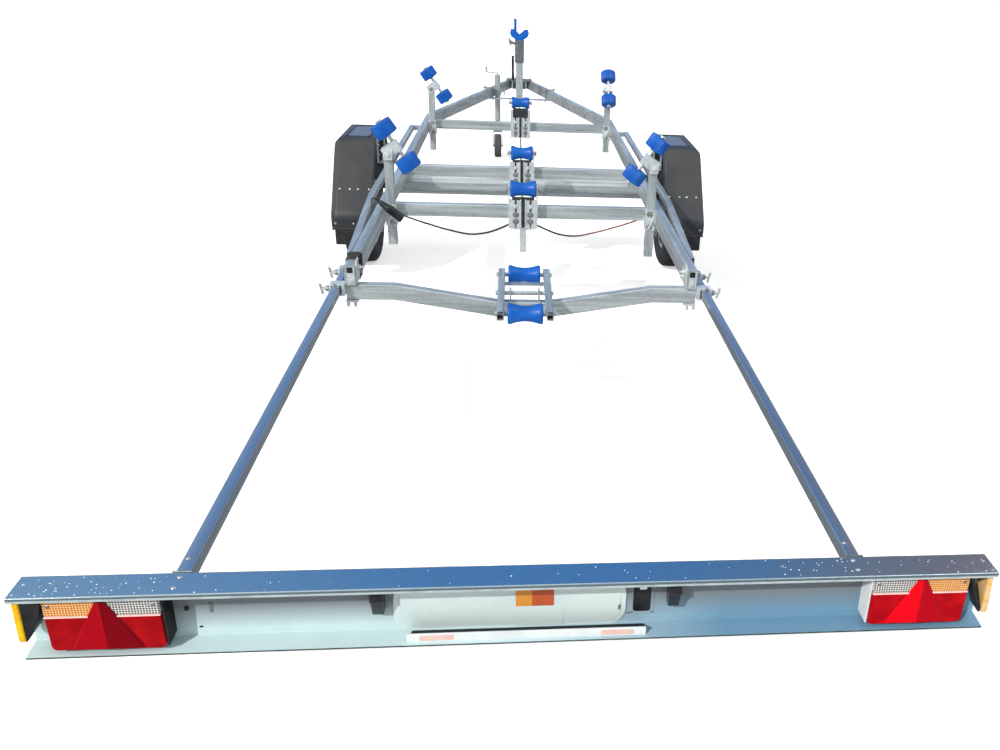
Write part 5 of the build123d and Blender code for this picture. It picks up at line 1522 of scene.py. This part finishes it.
def plug() -> Shape:
    """Seven-pin plug on the left rail, dipping inwards: a ribbed boot, a grooved grip and an open nose."""
    corner, slope, radius, over = (-0.632, at(2.690), 0.597), radians(38.0), 0.021, 0.034
    run, off = np.array([cos(slope), 0, -sin(slope)]), np.array([sin(slope), 0, cos(slope)])
    start = np.array(corner) + off * (radius + 0.0002) - run * over
    profile = [(0.0, 0.004), (0.0, 0.009)]
    for k in range(6):
        d, r = 0.003 + k * 0.0065, 0.010 + k * 0.0012
        profile += [(d, r), (d + 0.003, r + 0.0025), (d + 0.0045, r)]
    r = radius
    for k in range(7):
        d = 0.046 + k * 0.0068
        foot, crest = r - 0.003, r - 0.0004
        profile += [(d, foot), (d + 0.0012, crest), (d + 0.0048, crest), (d + 0.006, foot)]
    profile += [(0.096, r), (0.124, r), (0.126, r - 0.001), (0.126, r - 0.004), (0.118, r - 0.004),
                (0.118, 0.0005)]
    return Shape("plug_mesh").lathe(start, run, profile, 36)


class CouplingTrim:
    """Gaiter on the draw shaft, cover of the brake lever and grip of the coupling's handle."""

    @staticmethod
    def gaiter(start: float = 7.684, end: float = 7.862, height: float = 0.560, folds: int = 9) -> Shape:
        """Bellows: the radius swings between two values along the shaft.

        Args:
            start: station of the rear end.
            end: station of the front end.
            height: height of the shaft.
            folds: number of folds.

        Returns:
            The gaiter.
        """
        t, length = np.linspace(0, 1, folds * 4 + 1), end - start
        radius = 0.033 + 0.0055 * (1 - np.abs((t * folds) % 1 * 2 - 1)) + 0.004 * (1 - t)
        profile = np.concatenate([[(0, 0.0252)], np.stack([t * length, radius], axis=1), [(length, 0.0252)]])
        return Shape("shaft_gaiter").lathe((0, at(start), height), (0, 1, 0), profile, 40)

    @staticmethod
    def lever() -> Shape:
        """Thick cover of the brake lever, with the dark housing at its foot."""
        t = np.linspace(0, 1, 13)
        y, z = 3.552 + 0.014 * np.sin(t * pi) - 0.010 * t, 0.640 + 0.172 * t
        made = Shape("brake_lever_cover").tube(np.stack([np.full(13, -0.058), y, z], axis=1), 0.0115, 12)
        return made.box((-0.0700, 3.500, 0.600), (-0.0440, 3.600, 0.652), 0.004, 0.008)

    @staticmethod
    def grip() -> Shape:
        """Soft cover of the coupling's handle."""
        low, high = (-0.0155, at(7.8272), 0.6335), (0.0155, at(7.8972), 0.6545)
        return Shape("handle_cover").box(low, high, 0.003, 0.004)


# ------------------------------------------------------------------ stage, light and camera
@dataclass(frozen=True)
class Beam:
    """Parallel light with a soft edge.

    Args:
        name: its name.
        azimuth: degrees from straight behind, to the left.
        height: degrees above the ground.
        strength: its strength.
        spread: its angular size in degrees.
        colour: its light's colour.
    """
    name: str
    azimuth: float
    height: float
    strength: float
    spread: float
    colour: tuple[float, float, float]

    def hang(self) -> bpy.types.Object:
        """Make the lamp and turn it along its rays."""
        data = bpy.data.lights.new(self.name, "SUN")
        data.energy, data.angle, data.color = self.strength, radians(self.spread), self.colour
        a, h = radians(self.azimuth), radians(self.height)
        towards = Vector((sin(a) * cos(h), cos(a) * cos(h), -sin(h)))
        lamp = linked(self.name, data)
        lamp.location = -towards * 10
        lamp.rotation_euler = towards.to_track_quat("-Z", "Y").to_euler()
        return lamp


@dataclass(frozen=True)
class Lens:
    """Camera standing behind the light board.

    Args:
        place: where it stands.
        dip: degrees that it looks down.
        swing: degrees that it looks to the right.
        focal: focal length on a 36 mm sensor, in millimetres.
        shift: shift of the frame, as parts of its width.
    """
    place: tuple[float, float, float]
    dip: float
    swing: float
    focal: float
    shift: tuple[float, float]

    def mount(self) -> bpy.types.Object:
        """Make the camera from its own axes: right, up and back."""
        a, b = radians(self.dip), radians(self.swing)
        ahead, down, side = Vector((0, cos(a), -sin(a))), Vector((0, -sin(a), -cos(a))), Vector((1, 0, 0))
        front = cos(b) * ahead + sin(b) * side
        right = cos(b) * side - sin(b) * ahead
        data = bpy.data.cameras.new("camera")
        data.sensor_width, data.lens, data.clip_end = 36.0, self.focal, 200.0
        data.shift_x, data.shift_y = self.shift
        camera = linked("camera", data)
        turn = Matrix((right, -down, -front)).transposed()
        camera.matrix_world = Matrix.Translation(self.place) @ turn.to_4x4()
        bpy.context.scene.camera = camera
        return camera


@dataclass(frozen=True)
class Card:
    """Card that only reflections show: a ramp across it, over a paler lower part.

    Args:
        name: its name.
        reach: its ends in X, on both sides.
        edges: Y and height of its two long edges.
        stops: place and written colour of the ramp's stops, from one end of RAMP to the other.
        low: written colour of its lower part, or None.
    """
    name: str
    reach: float
    edges: tuple
    stops: tuple
    low: str | None = None

    def hang(self) -> bpy.types.Object:
        """Make the card and its glowing material."""
        material, tree, shader = blank(self.name)
        tree.nodes.remove(shader)
        ramp = tree.nodes.new("ShaderNodeValToRGB")
        feed(tree, ramp.inputs["Fac"], ranged(tree, along_axis(tree, "X"), *RAMP))
        points = ramp.color_ramp.elements
        made = [*points, *(points.new(0.5) for _ in self.stops[2:])]
        for (place, code), stop in zip(self.stops, made):
            stop.position, stop.color = place, rgba(code)
        colour = ramp.outputs["Color"]
        if self.low:
            rise = ranged(tree, along_axis(tree, "Z"), *RISE, interpolation_type="SMOOTHSTEP")
            colour = mixed(tree, rise, rgba(self.low), colour)
        glow = node(tree, "Emission", {"Color": colour}, "Emission")
        feed(tree, tree.nodes["Material Output"].inputs["Surface"], glow)
        (y0, z0), (y1, z1) = self.edges
        corners = [(-self.reach, y0, z0), (self.reach, y0, z0), (self.reach, y1, z1), (-self.reach, y1, z1)]
        card = Stage.sheet(self.name, corners, material)
        card.visible_camera = card.visible_diffuse = card.visible_shadow = False
        card.visible_transmission = card.visible_volume_scatter = False
        return card


# the camera, the lights, and the ramps of the cards' colours
CAMERA = Lens((-0.03732, -5.55012, 1.68979), 24.77479, 6.95809, 33.35991, (-0.128188, 0.007342))
BEAMS = (Beam("key", 42.0, 36.0, 2.8, 1.5, (1.0, 0.985, 0.96)),
         Beam("fill", -60.0, 55.0, 0.5, 25.0, (0.95, 0.97, 1.0)))
# ends of the ramps in X, heights between which a lower part fades out, and half of the floor's width
RAMP, RISE, FLOOR = (-11.0, 11.0), (4.0, 8.0), 60.0
SKY = ((0.0, "94b6dc"), (0.2, "80aadc"), (0.42, "4c8acc"), (0.60, "4284cc"), (0.74, "5482b4"),
       (0.84, "79809a"), (1.0, "86707e"))
REAR_SKY = ((0.0, "f6fbfc"), (0.42, "e2eff2"), (0.54, "a8c2d2"), (0.64, "6f93b2"), (1.0, "557da2"))
GROUND = ((0.0, "8b9094"), (0.5, "8b9094"), (1.0, "7f868c"))
CARDS = (Card("sky_card", 16, ((13, 1.2), (8, 16)), SKY, "a9c0e4"),
         Card("rear_card", 16, ((-14, 0.8), (-11, 16)), REAR_SKY),
         Card("ground_card", 20, ((-20, 0.003), (20, 0.003)), GROUND))


class Stage:
    """Floor, cards, world and lights."""

    @staticmethod
    def shown(tree: bpy.types.NodeTree) -> bpy.types.NodeSocket:
        """One for camera, glossy and transmission rays, and nothing for the rays that light the object."""
        path = tree.nodes.new("ShaderNodeLightPath").outputs
        first = node(tree, "Math", {0: path["Is Camera Ray"], 1: path["Is Glossy Ray"]}, operation="MAXIMUM")
        return node(tree, "Math", {0: first, 1: path["Is Transmission Ray"]}, operation="MAXIMUM")

    @staticmethod
    def sheet(name: str, corners, material: bpy.types.Material) -> bpy.types.Object:
        """Four-cornered piece of the stage."""
        mesh = bpy.data.meshes.new(name)
        mesh.from_pydata(corners, [], [(0, 1, 2, 3)])
        mesh.materials.append(material)
        made = linked(name, mesh)
        return made

    def world(self) -> None:
        """Pale backdrop for the rays that see it, and a weaker light from all round."""
        world = bpy.data.worlds.new("studio")
        bpy.context.scene.world = world
        world.use_nodes = True
        tree = world.node_tree
        strength = {"Value": self.shown(tree), "To Min": 0.5, "To Max": 1.0}
        back = tree.nodes["Background"].inputs
        feed(tree, back["Strength"], node(tree, "MapRange", strength, "Result"))
        feed(tree, back["Color"], (1, 1, 1, 1))

    def floor(self) -> None:
        """Pale floor that keeps the trailer's shadow."""
        material, tree, shader = blank("floor", Base_Color=(0.9, 0.9, 0.9, 1), Roughness=0.9,
                                       Specular_Ior_Level=0.1, Emission_Color=(1, 1, 1, 1))
        lift = node(tree, "Math", {0: self.shown(tree), 1: 0.5}, operation="MULTIPLY")
        feed(tree, shader.inputs["Emission Strength"], lift)
        corners = [(-FLOOR, -FLOOR, 0), (FLOOR, -FLOOR, 0), (FLOOR, FLOOR, 0), (-FLOOR, FLOOR, 0)]
        self.sheet("floor", corners, material)

    def build(self) -> None:
        """Everything that isn't the trailer."""
        self.world()
        self.floor()
        for item in CARDS + BEAMS:
            item.hang()


# ------------------------------------------------------------------ the trailer
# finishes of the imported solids, by how their names start; the first that fits is taken
DRESS = {
    "tyre": "tyre_rubber", "rim": "rim_silver", "mudguards": "guard_plastic",
    "keel_roller": "roller_blue", "cradle_roller": "roller_blue", "rollers_": "roller_blue",
    "bow_stop": "roller_blue", "lead": "cable_black", "plug": "moulded_black",
    "brake_cables": "brake_cable", "handbrake": "moulded_black", "tail_lamps": "moulded_black",
    "lamp_lenses": "lens_red_deep", "side_markers": "marker_yellow", "plate_lamps": "moulded_black",
    "plate_holder": "plate_white", "jockey_wheel": "grey_rubber", "coupling": "cast_head",
    "brake_rod": "bright_plate", "jockey_stem": "bright_plate", "jockey_fork": "bright_plate",
    "head_pivots": "bright_plate", "light_board": "zinc_sheet", "brake_backplates": "cast_head",
    "side_rails": "zinc_along", "light_arms": "zinc_arm", "mudguard_bars": "zinc_along",
    "drawbar_legs": "zinc_along", "crossmembers": "zinc_across", "axle_tube": "zinc_across",
    "vee_beam": "zinc_across", "drawbar_tie": "zinc_across", "cradle_frame": "zinc_along",
    "head_": "zinc_bright", "winch_frame": "cast_head", "keel_brackets": "zinc_bright",
    "post_clamps": "zinc_bright", "arm_clamps": "zinc_bright", "beam_clamps": "zinc_bright",
    "": "zinc_frame",
}
# what differs between the lamps' parts and between the sides
LENSES = {"amber": "lens_amber", "clear": "lens_clear", "step": "lens_step"}
REDS = {"left": "lens_red_deep", "right": "lens_red_bright"}
WINDOWS = {"left": "moulded_black", "right": "lens_window"}
MARKERS = {"left": ("marker_yellow", WIDE_FOOT), "right": ("marker_pale", SLIM_FOOT)}
PLATE_LAMPS = {"left": -0.319, "right": 0.301}
LABELS = {"orange": "label_orange", "rust": "label_rust", "white": "plate_white"}


class Trailer:
    """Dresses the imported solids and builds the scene's own pieces."""

    def __init__(self) -> None:
        self.look = Palette()

    def put(self, rows, body: str = Body.FRAME) -> None:
        """Place rows of piece, finish and slot, and of replaced nodes and angle where they're needed."""
        for piece, finish, slot, *rest in rows:
            piece.place(self.look[finish], slot, body, *rest)

    def dress(self) -> None:
        """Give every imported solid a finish."""
        for name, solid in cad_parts.items():
            finish = next(look for start, look in DRESS.items() if name.startswith(start))
            solid.data.materials.clear()
            solid.data.materials.append(self.look[finish])

    def board(self) -> None:
        """Light board with its plate holder, its lamps and its markers."""
        board = Board()
        low, top = board.edges()
        ring, patch = board.passage()
        self.put([(board.flange(), "zinc_sheet", Slot.ZINC, ["light_board"], 50),
                  (board.channel(), "zinc_web", Slot.ZINC, ["light_board"], 50),
                  (low, "edge_shade", Slot.ZINC),
                  (top, "edge_pale", Slot.ZINC),
                  (board.drops(), "pale_patch", Slot.ZINC),
                  (board.arms(), "zinc_arm", Slot.ZINC, ["light_arms"]),
                  (board.screws(), "bright_plate", Slot.STEEL),
                  (board.slots(), "moulded_black", Slot.LAMP),
                  (ring, "zinc_web", Slot.PLATE),
                  (patch, "pale_patch", Slot.PLATE)], Body.BOARD)
        for word, s in SIDES.items():
            self.lamps(word, s)
        holder = PlateHolder(board)
        self.put([(holder.panel(), "plate_white", Slot.PLATE, ["plate_holder"]),
                  (holder.ledge(), "slate_plastic", Slot.LAMP),
                  (holder.strip(), "strip_white", Slot.PLATE),
                  (holder.end_patches(), "faded_salmon", Slot.PLATE),
                  *((piece, LABELS[word], Slot.PLATE) for word, piece in holder.label().items())], Body.BOARD)

    def lamps(self, word: str, s: float) -> None:
        """Tail lamp, side marker and plate lamp of one side."""
        lamp, light, (tone, foot) = TailLamp(s), PlateLamp(PLATE_LAMPS[word]), MARKERS[word]
        marker, lenses = SideMarker(s, foot), LENSES | {"red": REDS[word]}
        rows = [(lamp.housing(), "moulded_black", Slot.LAMP, ["tail_lamps"]),
                *((piece, lenses[kind], Slot.LENS, ["lamp_lenses"]) for kind, piece in lamp.lenses().items()),
                *((piece, f"reflex_{word}_{half}", Slot.LENS, (), 15)
                  for half, piece in lamp.reflector().items()),
                (lamp.screws(), "bright_plate", Slot.STEEL),
                (lamp.window(), WINDOWS[word], Slot.LENS),
                (marker.lamp(), tone, Slot.AMBER, ["side_markers"]),
                (marker.base(), "moulded_black", Slot.LAMP),
                (light.body(), "moulded_black", Slot.LAMP, ["plate_lamps"]),
                (light.line(), "grey_rubber", Slot.LAMP)]
        self.put([(piece.named(word), *rest) for piece, *rest in rows], Body.BOARD)

    def running_gear(self) -> None:
        """Mudguards, tyres and wheel bolts."""
        guard = Mudguard()
        rows = [(guard.shell(), "guard_plastic", Slot.GUARD, ["mudguards"], 40),
                (guard.end_beads(), "guard_plastic", Slot.GUARD, (), 40),
                (guard.flap(), "flap_rubber", Slot.GUARD, (), 40),
                (guard.recess(), "guard_recess", Slot.GUARD),
                (guard.outer_bead(), "guard_plastic", Slot.GUARD),
                (guard.panel(), "guard_plastic", Slot.GUARD),
                (guard.rivets(), "bright_plate", Slot.STEEL)]
        self.put([(piece.doubled(), *rest) for piece, *rest in rows])
        for word, s in SIDES.items():
            rows = [(Tyre().mesh(), "tyre_rubber", Slot.TYRE, [f"tyre_{word}"], 30),
                    (Tyre.wall_ribs(), "tyre_rubber", Slot.TYRE, (), 30),
                    (wheel_bolts(), "bright_plate", Slot.STEEL, (), 30)]
            self.put([((piece if s > 0 else piece.mirrored()).named(word), *rest) for piece, *rest in rows],
                     f"wheel_{word}")

    def rollers(self) -> None:
        """Hull rollers and keel rollers."""
        for head in HEADS:
            rows = [(head.rollers(), "roller_blue", Slot.ROLLER, [f"rollers_{head.name}"], 40)]
            self.put(rows, f"rollers_{head.name}_body")
            self.put([(head.hardware(), "bright_plate", Slot.STEEL)], f"head_{head.name}_body")
        for name, body, centre, length in KEELS:
            piece = keel_roller(f"{name}_mesh", centre, length)
            self.put([(piece, "roller_blue", Slot.ROLLER, [name], 40)], body)

    def hardware(self) -> None:
        """Bolts, plates, plug, gaiter and grips on the frame."""
        bolts, trim = Fasteners(), CouplingTrim()
        self.put([(bolts.brackets(), "bright_plate", Slot.STEEL),
                  (bolts.posts(), "bright_plate", Slot.STEEL),
                  (bolts.saddles(), "bright_plate", Slot.STEEL),
                  (bolts.drawbar(), "bright_plate", Slot.STEEL),
                  (bolts.sleeves(), "bright_plate", Slot.STEEL),
                  (bolts.rail_ends(), "zinc_bright", Slot.STEEL),
                  (bolts.liners(), "moulded_black", Slot.BLACK),
                  (bolts.head_plates(), "zinc_bright", Slot.STEEL),
                  (bolts.winch_handle(), "bright_plate", Slot.STEEL),
                  (bolts.keel_bars(), "zinc_bright", Slot.STEEL),
                  (bolts.keel_slots(), "slot_shade", Slot.BLACK),
                  (plug(), "moulded_black", Slot.BLACK, ["plug"]),
                  (trim.gaiter(), "cable_black", Slot.CABLE),
                  (trim.grip(), "moulded_black", Slot.BLACK),
                  (trim.lever(), "moulded_black", Slot.BLACK)])

    def build(self) -> None:
        """Dress the solids and add the detailed pieces."""
        self.dress()
        self.board()
        self.running_gear()
        self.rollers()
        self.hardware()


def main() -> None:
    """Build the trailer, the stage and the camera."""
    logging.basicConfig(level=logging.INFO, format="%(message)s")
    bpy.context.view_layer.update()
    Trailer().build()
    Stage().build()
    CAMERA.mount()
    bpy.context.scene.view_settings.view_transform = "Standard"


if __name__ == "__main__":
    main()
